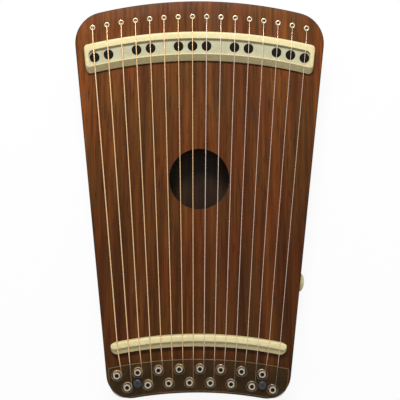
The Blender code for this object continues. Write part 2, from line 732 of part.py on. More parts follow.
def least_gap(places, wire):
    """Smallest space between turns of one tube, on points set along its middle line."""
    fine = []
    for here, there in zip(places, places[1:]):
        count = max(1, round((there - here).length / (2 * wire)))
        fine += [here.lerp(there, step / count) for step in range(count)]
    fine.append(places[-1])
    run = [0.0]
    for here, there in zip(fine, fine[1:]):
        run.append(run[-1] + (there - here).length)
    apart = pi * PIN_WAIST_RADIUS
    return min((fine[i] - fine[j]).length - 2 * wire
               for i in range(len(fine)) for j in range(i) if run[i] - run[j] > apart)


def make_strings():
    """One unbroken wire each: ball end, eyelet, both bridges, and turns on the pin."""
    for index in STRINGS:
        points = string_points(index)
        wire = string_radius(index)
        curve = bpy.data.curves.new(f"string_{index:02d}", "CURVE")
        curve.dimensions = "3D"
        curve.bevel_depth = wire
        curve.bevel_resolution = 1
        curve.use_fill_caps = True
        spline = curve.splines.new("POLY")
        spline.points.add(len(points) - 1)
        for point, (place, radius) in zip(spline.points, points):
            point.co = (*place, 1)
            point.radius = radius / wire
        material = bronze_wire if index <= STRING_COUNT // 2 else steel_wire
        place_object(curve.name, curve, material)
        places = [place for place, radius in points]
        length = sum((there - here).length for here, there in zip(places, places[1:]))
        wound = places[3:]
        print(f"{curve.name}: {length * 1000:.0f} mm long, {wire * 2000:.2f} mm thick, "
              f"least gap to itself {least_gap(wound, wire) * 1000:.2f} mm")


# Pin cover

def make_pin_cover():
    """Clear plate that follows the foot's outline, with a hole round each pin."""
    cover = BODY._replace(top_y=COVER_Y, top_radius=COVER_RADIUS,
                          bottom_y=BODY.bottom_y + COVER_INSET,
                          bottom_radius=BODY.bottom_radius + COVER_INSET,
                          side_gap=COVER_INSET, top_corner=COVER_CORNER,
                          bottom_corner=FOOT_CORNER_RADIUS - COVER_INSET)
    steps = rounded_steps(COVER_THICKNESS, COVER_ROUNDING)
    steps = [(inset, COVER_THICKNESS - z) for inset, z in steps[::2]][::-1] + steps[::2]
    mesh = skin("pin_cover", plate_loops(cover, steps))
    plate = place_object("pin_cover", mesh, smoky_clear, (0, 0, COVER_Z))
    low = COVER_Z - SEAM
    high = COVER_Z + COVER_THICKNESS + SEAM
    screw_radius = around(SCREW_SHAFT_RADIUS + SEAM, SCREW_SIDES)
    rods = [(pin_place(index), COVER_HOLE_RADIUS, PIN_SIDES, low, high) for index in STRINGS]
    rods += [(place, screw_radius, SCREW_SIDES, low, high) for place in SCREWS.values()]
    cut_rods(plate, rods)


def make_cover_spacers():
    """Round tubes that hold the cover off the soundboard."""
    bore = around(SCREW_SHAFT_RADIUS + SEAM, SCREW_SIDES)
    low = SEAM
    high = COVER_GAP - SEAM
    loops = [(circle(bore, SCREW_SIDES), low), (circle(SPACER_RADIUS, SCREW_SIDES), low),
             (circle(SPACER_RADIUS, SCREW_SIDES), high), (circle(bore, SCREW_SIDES), high)]
    mesh = skin("cover_spacer", loops, closed_ring=True)
    mesh.materials.append(fastener_black)
    for side, place in SCREWS.items():
        place_object(f"cover_spacer_{side}", mesh, location=(place.x, place.y, FACE_Z))


def make_cover_screws():
    """Domed socket screws through the cover and spacers into the foot block."""
    def ring(radius, z):
        return circle(radius, SCREW_SIDES), z

    under = COVER_GAP + COVER_THICKNESS + SEAM
    top = under + SCREW_HEAD_HEIGHT
    loops = [ring(SCREW_SHAFT_RADIUS, -SCREW_GRIP),
             ring(SCREW_SHAFT_RADIUS, under),
             ring(SCREW_HEAD_RADIUS, under)]
    for angle in (0, pi / 4, pi / 2):
        width = (SCREW_HEAD_RADIUS - SCREW_BROW_RADIUS) * cos(angle)
        rise = (SCREW_HEAD_HEIGHT - SCREW_HEAD_EDGE) * sin(angle)
        loops.append(ring(SCREW_BROW_RADIUS + width, under + SCREW_HEAD_EDGE + rise))
    loops = socketed(loops, SCREW_SOCKET_RADIUS, top, SCREW_SOCKET_DEPTH, SCREW_SIDES)
    mesh = skin("cover_screw", loops)
    mesh.materials.append(fastener_black)
    for side, place in SCREWS.items():
        place_object(f"cover_screw_{side}", mesh, location=(place.x, place.y, FACE_Z))


# Strap button

def stand_on_side(thing, gap):
    """Turns a thing's Z axis square out of the right-hand wall, halfway up the rim."""
    y = FOOT_Y + BUTTON_FROM_FOOT
    outward = Vector((1, -SIDE_SLOPE, 0)).normalized()
    thing.rotation_euler = outward.to_track_quat("Z", "Y").to_euler()
    thing.location = Vector((side_x(y), y, RIM_Z + RIM_DEPTH / 2)) + outward * gap


def make_strap_button():
    """Low domed button on a shank in the side wall."""
    def ring(radius, z):
        return circle(radius, BUTTON_SIDES), z

    loops = [ring(BUTTON_SHANK_RADIUS, -BUTTON_SHANK_LENGTH), ring(BUTTON_SHANK_RADIUS, 0),
             ring(BUTTON_RADIUS, 0)]
    for step in range(DOME_STEPS):
        angle = pi / 2 * step / DOME_STEPS
        rise = (BUTTON_HEIGHT - BUTTON_EDGE) * sin(angle)
        loops.append(ring(BUTTON_RADIUS * cos(angle), BUTTON_EDGE + rise))
    button = place_object("strap_button", skin("strap_button", loops), ivory)
    stand_on_side(button, SEAM)


for leftover in list(bpy.data.objects):
    bpy.data.objects.remove(leftover)

lyre = bpy.data.objects.new("lyre", None)
bpy.context.scene.collection.objects.link(lyre)

wood_front = make_material("wood_front", (0.16, 0.065, 0.028), 0.42)
wood_side = make_material("wood_side", (0.12, 0.048, 0.022), 0.45)
ivory = make_material("ivory", (0.82, 0.74, 0.46), 0.38)
pad_black = make_material("pad_black", (0.012, 0.012, 0.010), 0.62)
nickel = make_material("nickel", (0.66, 0.58, 0.44), 0.28, metallic=1.0)
pin_steel = make_material("pin_steel", (0.68, 0.64, 0.56), 0.25, metallic=1.0)
bronze_wire = make_material("bronze_wire", (0.66, 0.42, 0.24), 0.34, metallic=1.0)
steel_wire = make_material("steel_wire", (0.62, 0.54, 0.48), 0.30, metallic=1.0)
smoky_clear = make_material("smoky_clear", (0.22, 0.17, 0.09), 0.08, alpha=0.35)
fastener_black = make_material("fastener_black", (0.02, 0.021, 0.024), 0.35)

make_back_board()
make_frame()
make_soundboard()
make_top_bridge()
make_semitone_pad_strip()
make_bottom_bridge()
make_eyelets()
make_tuning_pins()
make_strings()
make_cover_spacers()
make_pin_cover()
make_cover_screws()
make_strap_button()
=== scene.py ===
"""Looks of a chromatic lyre: lacquered wood, ivory-coloured bridges, steel and bronze strings.

X runs across the strings, Y runs along them towards their hitched ends, and Z points out of
the soundboard. Every size is in metres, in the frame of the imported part.
"""

from math import acos, atan2, cos, hypot, pi, radians, sin, sqrt, tau

import bmesh
import bpy
from mathutils import Matrix, Vector


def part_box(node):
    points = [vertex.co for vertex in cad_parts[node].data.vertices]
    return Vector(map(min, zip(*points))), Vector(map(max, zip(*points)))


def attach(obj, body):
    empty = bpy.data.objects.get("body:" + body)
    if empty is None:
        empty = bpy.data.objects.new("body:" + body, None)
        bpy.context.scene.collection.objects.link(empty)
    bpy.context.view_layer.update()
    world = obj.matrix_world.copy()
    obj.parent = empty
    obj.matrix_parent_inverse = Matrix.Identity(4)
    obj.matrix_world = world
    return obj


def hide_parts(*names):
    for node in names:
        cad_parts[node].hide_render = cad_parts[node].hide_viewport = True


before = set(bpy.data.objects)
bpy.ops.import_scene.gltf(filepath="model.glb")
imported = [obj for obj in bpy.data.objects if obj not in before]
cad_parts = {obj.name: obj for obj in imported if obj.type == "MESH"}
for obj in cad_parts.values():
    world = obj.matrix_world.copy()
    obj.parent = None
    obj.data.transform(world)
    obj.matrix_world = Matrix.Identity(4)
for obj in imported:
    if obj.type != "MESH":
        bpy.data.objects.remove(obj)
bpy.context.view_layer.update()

# Camera and studio
# The lyre lies on a white sweep and is seen square from above, from about a metre.
# One large soft lamp stands beyond its head, and the room fills the shadows.

FACE_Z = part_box("soundboard")[1].z
CAMERA_HEIGHT = 1.05
FRAME_WIDTH = 0.4022
CAMERA_SHIFT = (0.0009, -0.0001)
CAMERA_ROLL = radians(0.16)
SENSOR = 36.0
LAMP_PLACE = Vector((-0.10, 1.05, 1.25))
LAMP_SIZE = (0.55, 0.40)
LAMP_POWER = 25.0
ROOM_LEVEL = 0.34
FLOOR_WHITE = 0.86
FLOOR_GLOW = 0.92
FLOOR_ROUGHNESS = 0.9
FLOOR_REACH = 6.0
FLOOR_DROP = 0.0003


def add_object(name, data):
    """An object at the origin, linked to the scene."""
    thing = bpy.data.objects.new(name, data)
    bpy.context.scene.collection.objects.link(thing)
    return thing


camera = add_object("camera", bpy.data.cameras.new("camera"))
camera.data.sensor_width = SENSOR
camera.data.lens = SENSOR * CAMERA_HEIGHT / FRAME_WIDTH
camera.location = (*CAMERA_SHIFT, FACE_Z + CAMERA_HEIGHT)
camera.rotation_euler = (0, 0, CAMERA_ROLL)
bpy.context.scene.camera = camera

lamp = add_object("head_lamp", bpy.data.lights.new("head_lamp", "AREA"))
lamp.data.shape = "RECTANGLE"
lamp.data.size, lamp.data.size_y = LAMP_SIZE
lamp.data.energy = LAMP_POWER
lamp.location = LAMP_PLACE
lamp.rotation_euler = (-LAMP_PLACE).to_track_quat("-Z", "Y").to_euler()

world = bpy.data.worlds.new("room")
world.use_nodes = True
world.node_tree.nodes["Background"].inputs["Color"].default_value = (1, 1, 1, 1)
bpy.context.scene.world = world
bpy.context.scene.view_settings.view_transform = "Standard"


def add_node(tree, kind, **values):
    """A node of one kind, with sockets set by name and settings set by attribute."""
    node = tree.nodes.new(kind)
    for name, value in values.items():
        if hasattr(node, name):
            setattr(node, name, value)
        else:
            node.inputs[name.replace("_", " ")].default_value = value
    return node


def new_material(name):
    """A material with its node tree and its main shader."""
    material = bpy.data.materials.new(name)
    material.use_nodes = True
    return material, material.node_tree, material.node_tree.nodes["Principled BSDF"]


def seen_ray(tree):
    """One where a ray comes from the eye, a mirror or a clear body, and zero for light."""
    path = add_node(tree, "ShaderNodeLightPath")
    glossy = add_node(tree, "ShaderNodeMath", operation="MAXIMUM")
    clear = add_node(tree, "ShaderNodeMath", operation="MAXIMUM")
    tree.links.new(path.outputs["Is Camera Ray"], glossy.inputs[0])
    tree.links.new(path.outputs["Is Glossy Ray"], glossy.inputs[1])
    tree.links.new(glossy.outputs[0], clear.inputs[0])
    tree.links.new(path.outputs["Is Transmission Ray"], clear.inputs[1])
    return clear.outputs[0]


room = world.node_tree
room_level = add_node(room, "ShaderNodeMapRange", To_Min=ROOM_LEVEL, To_Max=1.0)
room.links.new(seen_ray(room), room_level.inputs["Value"])
room.links.new(room_level.outputs["Result"], room.nodes["Background"].inputs["Strength"])

sweep, paper, paper_face = new_material("white_sweep")
paper_face.inputs["Base Color"].default_value = (FLOOR_WHITE, FLOOR_WHITE, FLOOR_WHITE, 1)
paper_face.inputs["Roughness"].default_value = FLOOR_ROUGHNESS
paper_glow = add_node(paper, "ShaderNodeEmission", Color=(1, 1, 1, 1), Strength=1.0)
paper_mix = add_node(paper, "ShaderNodeMixShader")
paper_share = add_node(paper, "ShaderNodeMath", operation="MULTIPLY")
paper_share.inputs[1].default_value = FLOOR_GLOW
paper.links.new(seen_ray(paper), paper_share.inputs[0])
paper.links.new(paper_share.outputs[0], paper_mix.inputs["Fac"])
paper.links.new(paper_face.outputs[0], paper_mix.inputs[1])
paper.links.new(paper_glow.outputs[0], paper_mix.inputs[2])
paper.links.new(paper_mix.outputs[0], paper.nodes["Material Output"].inputs["Surface"])

floor_mesh = bpy.data.meshes.new("floor")
floor_corners = [(x * FLOOR_REACH, y * FLOOR_REACH, -FLOOR_DROP)
                 for x, y in ((-1, -1), (1, -1), (1, 1), (-1, 1))]
floor_mesh.from_pydata(floor_corners, [], [(0, 1, 2, 3)])
floor_mesh.materials.append(sweep)
add_object("floor", floor_mesh)

# Back board
# The back is a 4 mm board of straight-grained reddish brown wood with rounded edges.
# Under each eyelet it has a hole that takes the ball end of a string.

BACK_THICKNESS = 0.004
EDGE_ROUNDING = 0.0015
SEAM = 0.0003
HEAD_SPREAD = 0.2589
FOOT_SPREAD = 0.1815
BODY_LENGTH = 0.400
SIDE_SLOPE = (HEAD_SPREAD - FOOT_SPREAD) / 2 / BODY_LENGTH
CROWN = (BODY_LENGTH / 2, 0.440)
CROWN_CORNER = 0.031
HOLLOW_RADIUS = 0.380
FOOT_CORNER = 0.024
STRING_COUNT = 16
STRINGS = range(1, STRING_COUNT + 1)
BALL_HOLE_RADIUS = 0.0025
ROUND_STEPS = 5
CUT_PAST = 0.001
PORE_TONE = (0.022, 0.009, 0.004)


def side_x(y, gap=0.0):
    """Half the width between the sloping side lines at height y, each moved in by gap."""
    return (HEAD_SPREAD + FOOT_SPREAD) / 4 + SIDE_SLOPE * y - gap * hypot(1, SIDE_SLOPE)


def hollow_middle():
    """Height of the middle of the hollow foot, whose corners reach the full length."""
    corner_y = FOOT_CORNER - BODY_LENGTH / 2
    reach = HOLLOW_RADIUS + FOOT_CORNER
    corner_x = side_x(corner_y, FOOT_CORNER)
    return corner_y - sqrt(reach ** 2 - corner_x ** 2) + HOLLOW_RADIUS


def arc_points(centre, start, end, steps):
    """Points from start to end about a centre, the shorter way round, end left out."""
    first = atan2(start.y - centre.y, start.x - centre.x)
    last = atan2(end.y - centre.y, end.x - centre.x)
    turn = (last - first + pi) % tau - pi
    radius = (start - centre).length
    angles = [first + turn * step / steps for step in range(steps)]
    return [centre + radius * Vector((cos(angle), sin(angle))) for angle in angles]


def corner_centre(gap, radius, arc_centre, reach):
    """Centre of a corner that touches a side line and lies at reach from an arc's centre."""
    along = Vector((SIDE_SLOPE, 1)).normalized()
    inward = Vector((-along.y, along.x))
    start = Vector((side_x(0, gap), 0)) + inward * radius - arc_centre
    back = start.dot(along)
    return arc_centre + start + along * (sqrt(back ** 2 - start.dot(start) + reach ** 2) - back)


def outline(top, bottom, gap, corners, insets=(0, 0, 0), arc_steps=24, corner_steps=10):
    """Outline between two long arcs and the sloping sides, anticlockwise.

    Top and bottom are the middle height and radius of each arc, and insets move the
    top, the sides and the bottom in.
    """
    top_in, side_in, bottom_in = insets
    high = Vector((0, top[0] - top_in))
    low = Vector((0, bottom[0] + bottom_in))
    high_radius = top[1] - top_in
    low_radius = bottom[1] + bottom_in
    high_centre = high - Vector((0, high_radius))
    low_centre = low - Vector((0, low_radius))
    widest = (high.y - low.y) * 0.48
    upper = min(max(corners[0] - side_in, SEAM), widest)
    lower = min(max(corners[1] - side_in, SEAM), widest)
    upper_centre = corner_centre(gap + side_in, upper, high_centre, high_radius - upper)
    lower_centre = corner_centre(gap + side_in, lower, low_centre, low_radius + lower)
    outward = Vector((1, -SIDE_SLOPE)).normalized()
    upper_end = high_centre + (upper_centre - high_centre).normalized() * high_radius
    lower_end = low_centre + (lower_centre - low_centre).normalized() * low_radius
    right = arc_points(low_centre, low, lower_end, arc_steps)
    right += arc_points(lower_centre, lower_end, lower_centre + outward * lower, corner_steps)
    right += [lower_centre + outward * lower]
    right += arc_points(upper_centre, upper_centre + outward * upper, upper_end, corner_steps)
    right += arc_points(high_centre, upper_end, high, arc_steps)
    return right + [high] + [Vector((-point.x, point.y)) for point in reversed(right[1:])]


def body_outline(inset):
    foot = (hollow_middle(), HOLLOW_RADIUS)
    return outline(CROWN, foot, 0, (CROWN_CORNER, FOOT_CORNER), (inset, inset, inset))


def quarter(rounding, steps=ROUND_STEPS):
    """Insets and drops of a rounded upper edge, from the wall up to the flat."""
    angles = [pi / 2 * step / steps for step in range(steps + 1)]
    return [(rounding * (1 - cos(angle)), rounding * (1 - sin(angle))) for angle in angles]


def skin(name, loops, ring=False):
    """Mesh through loops of one point count, each at its own height, capped unless a ring."""
    bm = bmesh.new()
    rows = [[bm.verts.new((point.x, point.y, z)) for point in loop] for loop, z in loops]
    pairs = list(zip(rows, rows[1:]))
    if ring:
        pairs.append((rows[-1], rows[0]))
    else:
        bm.faces.new(rows[0])
        bm.faces.new(rows[-1])
    for low, high in pairs:
        for here in range(len(low)):
            bm.faces.new((low[here - 1], low[here], high[here], high[here - 1]))
    bmesh.ops.recalc_face_normals(bm, faces=bm.faces)
    mesh = bpy.data.meshes.new(name)
    bm.to_mesh(mesh)
    bm.free()
    return mesh


def circle(radius, sides, centre=Vector((0, 0))):
    angles = [tau * step / sides for step in range(sides)]
    return [centre + radius * Vector((cos(angle), sin(angle))) for angle in angles]


def turned(name, profile, sides, centre=Vector((0, 0)), ring=False):
    """Mesh of a turned body from radius and height pairs."""
    return skin(name, [(circle(radius, sides, centre), z) for radius, z in profile], ring)


def shade(mesh, angle=35):
    mesh.shade_smooth()
    mesh.set_sharp_from_angle(angle=radians(angle))


def place(name, mesh, material, body, nodes=()):
    """A finished piece: shaded, in its material, on its body and in place of its nodes."""
    if material:
        mesh.materials.clear()
        mesh.materials.append(material)
    shade(mesh)
    thing = add_object(name, mesh)
    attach(thing, body)
    if nodes:
        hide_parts(*nodes)
    return thing


def drilled(mesh, cutters):
    """The mesh with each cutter mesh taken out of it."""
    host = add_object("host", mesh)
    tools = [add_object("tool", cutter) for cutter in cutters]
    for tool in tools:
        boolean = host.modifiers.new("cut", "BOOLEAN")
        boolean.operation = "DIFFERENCE"
        boolean.object = tool
    graph = bpy.context.evaluated_depsgraph_get()
    result = bpy.data.meshes.new_from_object(host.evaluated_get(graph), depsgraph=graph)
    for thing in [host] + tools:
        bpy.data.objects.remove(thing)
    result.name = mesh.name
    return result


def together(name, meshes):
    """One mesh that holds separate closed shapes."""
    bm = bmesh.new()
    for mesh in meshes:
        bm.from_mesh(mesh)
    joined = bpy.data.meshes.new(name)
    bm.to_mesh(joined)
    bm.free()
    return joined


def across(index, half_span):
    return half_span * (2 * (index - 1) / (STRING_COUNT - 1) - 1)


def arc_y(x, middle_y, radius):
    return middle_y - radius + sqrt(radius ** 2 - x ** 2)


EYELET_Y = BODY_LENGTH / 2 - 0.0158
EYELET_ROW_RADIUS = 0.508
EYELET_MARGIN = 0.0204


def eyelet_place(index):
    x = across(index, side_x(EYELET_Y) - EYELET_MARGIN)
    return Vector((x, arc_y(x, EYELET_Y, EYELET_ROW_RADIUS)))


def new_group(name, kind, inputs, outputs):
    """A node group with its sockets, and the nodes that stand for its two ends."""
    tree = bpy.data.node_groups.new(name, kind)
    for way, sockets in (("INPUT", inputs), ("OUTPUT", outputs)):
        for label, socket in sockets.items():
            tree.interface.new_socket(label, in_out=way, socket_type="NodeSocket" + socket)
    return tree, tree.nodes.new("NodeGroupInput"), tree.nodes.new("NodeGroupOutput")


def make_wood_group():
    """Straight-grained wood: broad stripes, fine streaks and short dark pores along Y."""
    tree, given, out = new_group(
        "straight_grain", "ShaderNodeTree",
        {"Head Tone": "Color", "Foot Tone": "Color", "Pore Tone": "Color",
         "Stripe Strength": "Float"},
        {"Color": "Color", "Roughness": "Float", "Height": "Float"})
    where = add_node(tree, "ShaderNodeTexCoord")
    apart = add_node(tree, "ShaderNodeSeparateXYZ")
    tree.links.new(where.outputs["Object"], apart.inputs[0])

    def stretched(along, over):
        mapping = add_node(tree, "ShaderNodeMapping", Scale=(over, along, over))
        tree.links.new(where.outputs["Object"], mapping.inputs["Vector"])
        return mapping.outputs[0]

    def noise(along, over, detail, distortion=0.0):
        node = add_node(tree, "ShaderNodeTexNoise", Scale=1.0, Detail=detail, Roughness=0.6,
                        Distortion=distortion)
        tree.links.new(stretched(along, over), node.inputs["Vector"])
        return node.outputs["Fac"]

    def spread(value, low, high, to_low=0.0, to_high=1.0):
        node = add_node(tree, "ShaderNodeMapRange", From_Min=low, From_Max=high,
                        To_Min=to_low, To_Max=to_high)
        tree.links.new(value, node.inputs["Value"])
        return node.outputs["Result"]

    def blend(kind, factor, first, second):
        node = add_node(tree, "ShaderNodeMix", data_type="RGBA", blend_type=kind)
        for value, socket in ((factor, 0), (first, 6), (second, 7)):
            if isinstance(value, (float, tuple)):
                node.inputs[socket].default_value = value
            else:
                tree.links.new(value, node.inputs[socket])
        return node.outputs[2]

    # Colour runs from the foot tone to the head tone along Y: lighter towards the head, darker
    # towards the foot.
    tone = spread(apart.outputs["Y"], -0.06, 0.20)
    colour = blend("MIX", tone, given.outputs["Foot Tone"], given.outputs["Head Tone"])
    stripes = spread(noise(2.2, 60.0, 3.0, 0.5), 0.34, 0.66)
    stripe_value = blend("MIX", stripes, (0.60, 0.58, 0.56, 1.0), (1.45, 1.42, 1.36, 1.0))
    colour = blend("MULTIPLY", given.outputs["Stripe Strength"], colour, stripe_value)
    streaks = spread(noise(16.0, 380.0, 4.0), 0.32, 0.68)
    streak_value = blend("MIX", streaks, (0.56, 0.54, 0.52, 1.0), (1.46, 1.44, 1.40, 1.0))
    colour = blend("MULTIPLY", 0.9, colour, streak_value)
    warmth = spread(noise(12.0, 34.0, 2.0), 0.35, 0.65)
    warm_value = blend("MIX", warmth, (1.15, 0.94, 0.84, 1.0), (0.94, 1.07, 0.96, 1.0))
    colour = blend("MULTIPLY", 0.9, colour, warm_value)
    pores = spread(noise(45.0, 800.0, 2.0), 0.58, 0.68)
    colour = blend("MIX", spread(pores, 0.0, 1.0, 0.0, 0.65), colour, given.outputs["Pore Tone"])
    tree.links.new(colour, out.inputs["Color"])
    tree.links.new(spread(streaks, 0.0, 1.0, 0.46, 0.34), out.inputs["Roughness"])
    tree.links.new(spread(pores, 0.0, 1.0, 1.0, 0.0), out.inputs["Height"])
    return tree


straight_grain = make_wood_group()


def wood(name, head, foot, stripe_strength, edge=None):
    """Lacquered wood in two tones, lighter towards the head and darker towards the foot; where
    an edge colour is given, painted shade darkens faces that tilt away from up, such as the
    rounded edge.
    """
    material, tree, shader = new_material(name)
    grain = add_node(tree, "ShaderNodeGroup", node_tree=straight_grain)
    grain.inputs["Head Tone"].default_value = (*head, 1)
    grain.inputs["Foot Tone"].default_value = (*foot, 1)
    grain.inputs["Pore Tone"].default_value = (*PORE_TONE, 1)
    grain.inputs["Stripe Strength"].default_value = stripe_strength
    colour = grain.outputs["Color"]
    # Painted shade: the more a face tilts away from up, the nearer its colour comes to the edge
    # colour.
    if edge:
        shape = add_node(tree, "ShaderNodeNewGeometry")
        parts = add_node(tree, "ShaderNodeSeparateXYZ")
        slant = add_node(tree, "ShaderNodeMapRange", From_Min=0.97, From_Max=0.80)
        mix = add_node(tree, "ShaderNodeMix", data_type="RGBA")
        mix.inputs[7].default_value = (*edge, 1)
        tree.links.new(shape.outputs["Normal"], parts.inputs[0])
        tree.links.new(parts.outputs["Z"], slant.inputs["Value"])
        tree.links.new(slant.outputs["Result"], mix.inputs[0])
        tree.links.new(colour, mix.inputs[6])
        colour = mix.outputs[2]
    bump = add_node(tree, "ShaderNodeBump", Strength=0.25, Distance=0.0001)
    tree.links.new(grain.outputs["Height"], bump.inputs["Height"])
    tree.links.new(bump.outputs[0], shader.inputs["Normal"])
    tree.links.new(colour, shader.inputs["Base Color"])
    tree.links.new(grain.outputs["Roughness"], shader.inputs["Roughness"])
    shader.inputs["Specular IOR Level"].default_value = 0.10
    return material


def faces_in(mesh, material, chosen):
    """Gives the faces that a test chooses a second material."""
    mesh.materials.append(material)
    for face in mesh.polygons:
        if chosen(face):
            face.material_index = len(mesh.materials) - 1


wood_side = wood("wood_side", (0.100, 0.032, 0.010), (0.066, 0.021, 0.0075), 0.8)
# The inside wood is painted dark: painted shade inside the closed body.
wood_inside = wood("wood_inside", (0.030, 0.018, 0.009), (0.026, 0.015, 0.008), 0.6)
back_edges = quarter(EDGE_ROUNDING)
back_loops = [(body_outline(inset), drop) for inset, drop in reversed(back_edges)]
back_loops.append((body_outline(0), BACK_THICKNESS))
ball_hole = [(BALL_HOLE_RADIUS, -CUT_PAST), (BALL_HOLE_RADIUS, BACK_THICKNESS + CUT_PAST)]
back_holes = together("back_holes", [turned("ball_hole", ball_hole, 24, eyelet_place(index))
                                     for index in STRINGS])
back = place("back", drilled(skin("back", back_loops), [back_holes]), wood_side,
             "lyre", ["back_board"])
# Painted shade: the back's inner face takes the dark inside wood.
faces_in(back.data, wood_inside, lambda face: face.normal.z > 0.9)

# Rim
# Two side walls, a thick head block and a thick foot block are glued up as one frame.
# The blocks carry the pull of the strings, so they are far wider than the walls.
# Here they have no bores for pins, strings and screws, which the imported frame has.

RIM_DEPTH = 0.0304
RIM_Z = BACK_THICKNESS + SEAM
RIM_TOP = RIM_Z + RIM_DEPTH
SIDE_WALL = 0.009
CAVITY_TOP = (0.1359, 0.4577)
CAVITY_BOTTOM = (-0.1517, 0.4088)
CAVITY_CORNER = 0.010

rim_outside = body_outline(0)
rim_inside = outline(CAVITY_TOP, CAVITY_BOTTOM, SIDE_WALL, (CAVITY_CORNER, CAVITY_CORNER))
rim_loops = [(rim_outside, RIM_Z), (rim_outside, RIM_TOP), (rim_inside, RIM_TOP),
             (rim_inside, RIM_Z)]
rim = place("rim", skin("rim", rim_loops, ring=True), wood_side, "lyre", ["frame"])
# Painted shade: the rim's inner walls take the dark inside wood.
faces_in(rim.data, wood_inside, lambda face: abs(face.normal.z) < 0.1 and
         face.normal.dot(face.center) < 0 and abs(face.center.y) < 0.16)

# Soundboard
# A 3 mm front board with a round sound hole, whose edge is slightly eased.
# It is drilled for the eyelets and pins, and two braces are glued beneath it.

BOARD_Z = RIM_TOP + SEAM
HOLE_CENTRE = Vector((0, 0.021))
HOLE_RADIUS = 0.030
HOLE_EASING = 0.0005
PIN_BORE = 0.0030
EYELET_HOLE = 0.0022
BRACE_WIDTH = 0.008
BRACE_DEPTH = 0.007
BRACE_STRAIGHT = 0.004
BRACE_END_GAP = 0.005
BRACE_OFFSET = 0.044


def box_axis(node):
    """Where a node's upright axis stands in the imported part."""
    low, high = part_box(node)
    return ((low + high) / 2).to_2d()


def pin_axis(index):
    return box_axis(f"tuning_pin_{index:02d}")


def board_bore(radius, sides, centre):
    return turned("bore", [(radius, BOARD_Z - CUT_PAST), (radius, FACE_Z + CUT_PAST)], sides,
                  centre)


# The soundboard's edge colour is painted shade on its rounded edge and on the wall of the sound
# hole.
wood_front = wood("wood_front", (0.128, 0.042, 0.0085), (0.071, 0.0225, 0.0045), 1.0,
                  edge=(0.022, 0.015, 0.010))
board_loops = [(body_outline(0), BOARD_Z)]
board_loops += [(body_outline(inset), FACE_Z - drop) for inset, drop in quarter(EDGE_ROUNDING)]
sound_hole = [(HOLE_RADIUS, BOARD_Z - 2 * CUT_PAST), (HOLE_RADIUS, FACE_Z - HOLE_EASING),
              (HOLE_RADIUS + HOLE_EASING, FACE_Z),
              (HOLE_RADIUS + 2 * HOLE_EASING, FACE_Z + HOLE_EASING)]
hole_cutter = turned("hole", sound_hole, 128, HOLE_CENTRE)
small_holes = [board_bore(PIN_BORE, 24, pin_axis(index)) for index in STRINGS]
small_holes += [board_bore(EYELET_HOLE, 20, eyelet_place(index)) for index in STRINGS]
board = drilled(skin("front", board_loops), [hole_cutter, together("bores", small_holes)])
place("front", board, wood_front, "lyre", ["soundboard"])

brace_meshes = []
for side in (-1, 1):
    brace_y = HOLE_CENTRE.y + side * BRACE_OFFSET
    half = side_x(brace_y, SIDE_WALL + BRACE_END_GAP)
    near_half = [(BRACE_WIDTH / 2, BOARD_Z), (BRACE_WIDTH / 2, BOARD_Z - BRACE_STRAIGHT),
                 (BRACE_WIDTH / 3, BOARD_Z - BRACE_DEPTH)]
    section = near_half + [(-y, z) for y, z in reversed(near_half)]
    brace = bpy.data.meshes.new("brace")
    rows = [(x, brace_y + y, z) for x in (-half, half) for y, z in section]
    count = len(section)
    walls = [(k, (k + 1) % count, count + (k + 1) % count, count + k) for k in range(count)]
    brace.from_pydata(rows, [], walls + [tuple(range(count))[::-1],
                                         tuple(range(count, 2 * count))])
    brace_meshes.append(brace)
braces = together("braces", brace_meshes)
place("braces", braces, wood_side, "lyre")

# Top bridge
# An arched moulding in ivory-coloured plastic: a rail that the strings bear on, a recess
# with a hole for each semitone pad, a low crest and a long slope towards the middle.

BRIDGE_TOP = (0.1682, 0.486)
BRIDGE_HEIGHT = 0.0085
BRIDGE_GAP = 0.0092
BRIDGE_CORNER = 0.004
RAIL_WIDTH = 0.0067
RAIL_ROUNDING = 0.002
RECESS_WIDTH = 0.0150
RECESS_DEPTH = 0.0030
RECESS_CORNER = 0.0052
CREST_WIDTH = 0.0010
SLOPE_WIDTH = 0.0056
SLOPE_FOOT = 0.0020
END_WALL = 0.0040
BRIDGE_WIDTH = RAIL_WIDTH + RECESS_WIDTH + CREST_WIDTH + SLOPE_WIDTH
RECESS_WALL = ((0.0, 0.0), (0.0001, 0.0003), (0.0003, RECESS_DEPTH))
PAD_HOLE_DEPTH = 0.002
PAD_RADIUS = 0.0047
PAD_STRINGS = (1, 2, 4, 5, 7, 8, 9, 11, 12, 14, 15, 16)


def make_handling_group():
    """Fine mottling and faint soiling, for moulded plastic and handled metal."""
    tree, given, out = new_group(
        "handling", "ShaderNodeTree", {"Size": "Float", "Low": "Float", "High": "Float"},
        {"Mask": "Float", "Roughness": "Float"})
    where = add_node(tree, "ShaderNodeTexCoord")
    noise = add_node(tree, "ShaderNodeTexNoise", Detail=5.0, Roughness=0.65)
    mask = add_node(tree, "ShaderNodeMapRange", From_Min=0.35, From_Max=0.65)
    rough = add_node(tree, "ShaderNodeMapRange", From_Min=0.0, From_Max=1.0)
    tree.links.new(where.outputs["Object"], noise.inputs["Vector"])
    tree.links.new(given.outputs["Size"], noise.inputs["Scale"])
    tree.links.new(noise.outputs["Fac"], mask.inputs["Value"])
    tree.links.new(mask.outputs["Result"], rough.inputs["Value"])
    tree.links.new(given.outputs["Low"], rough.inputs["To Min"])
    tree.links.new(given.outputs["High"], rough.inputs["To Max"])
    tree.links.new(mask.outputs["Result"], out.inputs["Mask"])
    tree.links.new(rough.outputs["Result"], out.inputs["Roughness"])
    return tree


handling = make_handling_group()


def add_marks(tree, size, roughness):
    marks = add_node(tree, "ShaderNodeGroup", node_tree=handling)
    marks.inputs["Size"].default_value = size
    marks.inputs["Low"].default_value = roughness[0]
    marks.inputs["High"].default_value = roughness[1]
    return marks


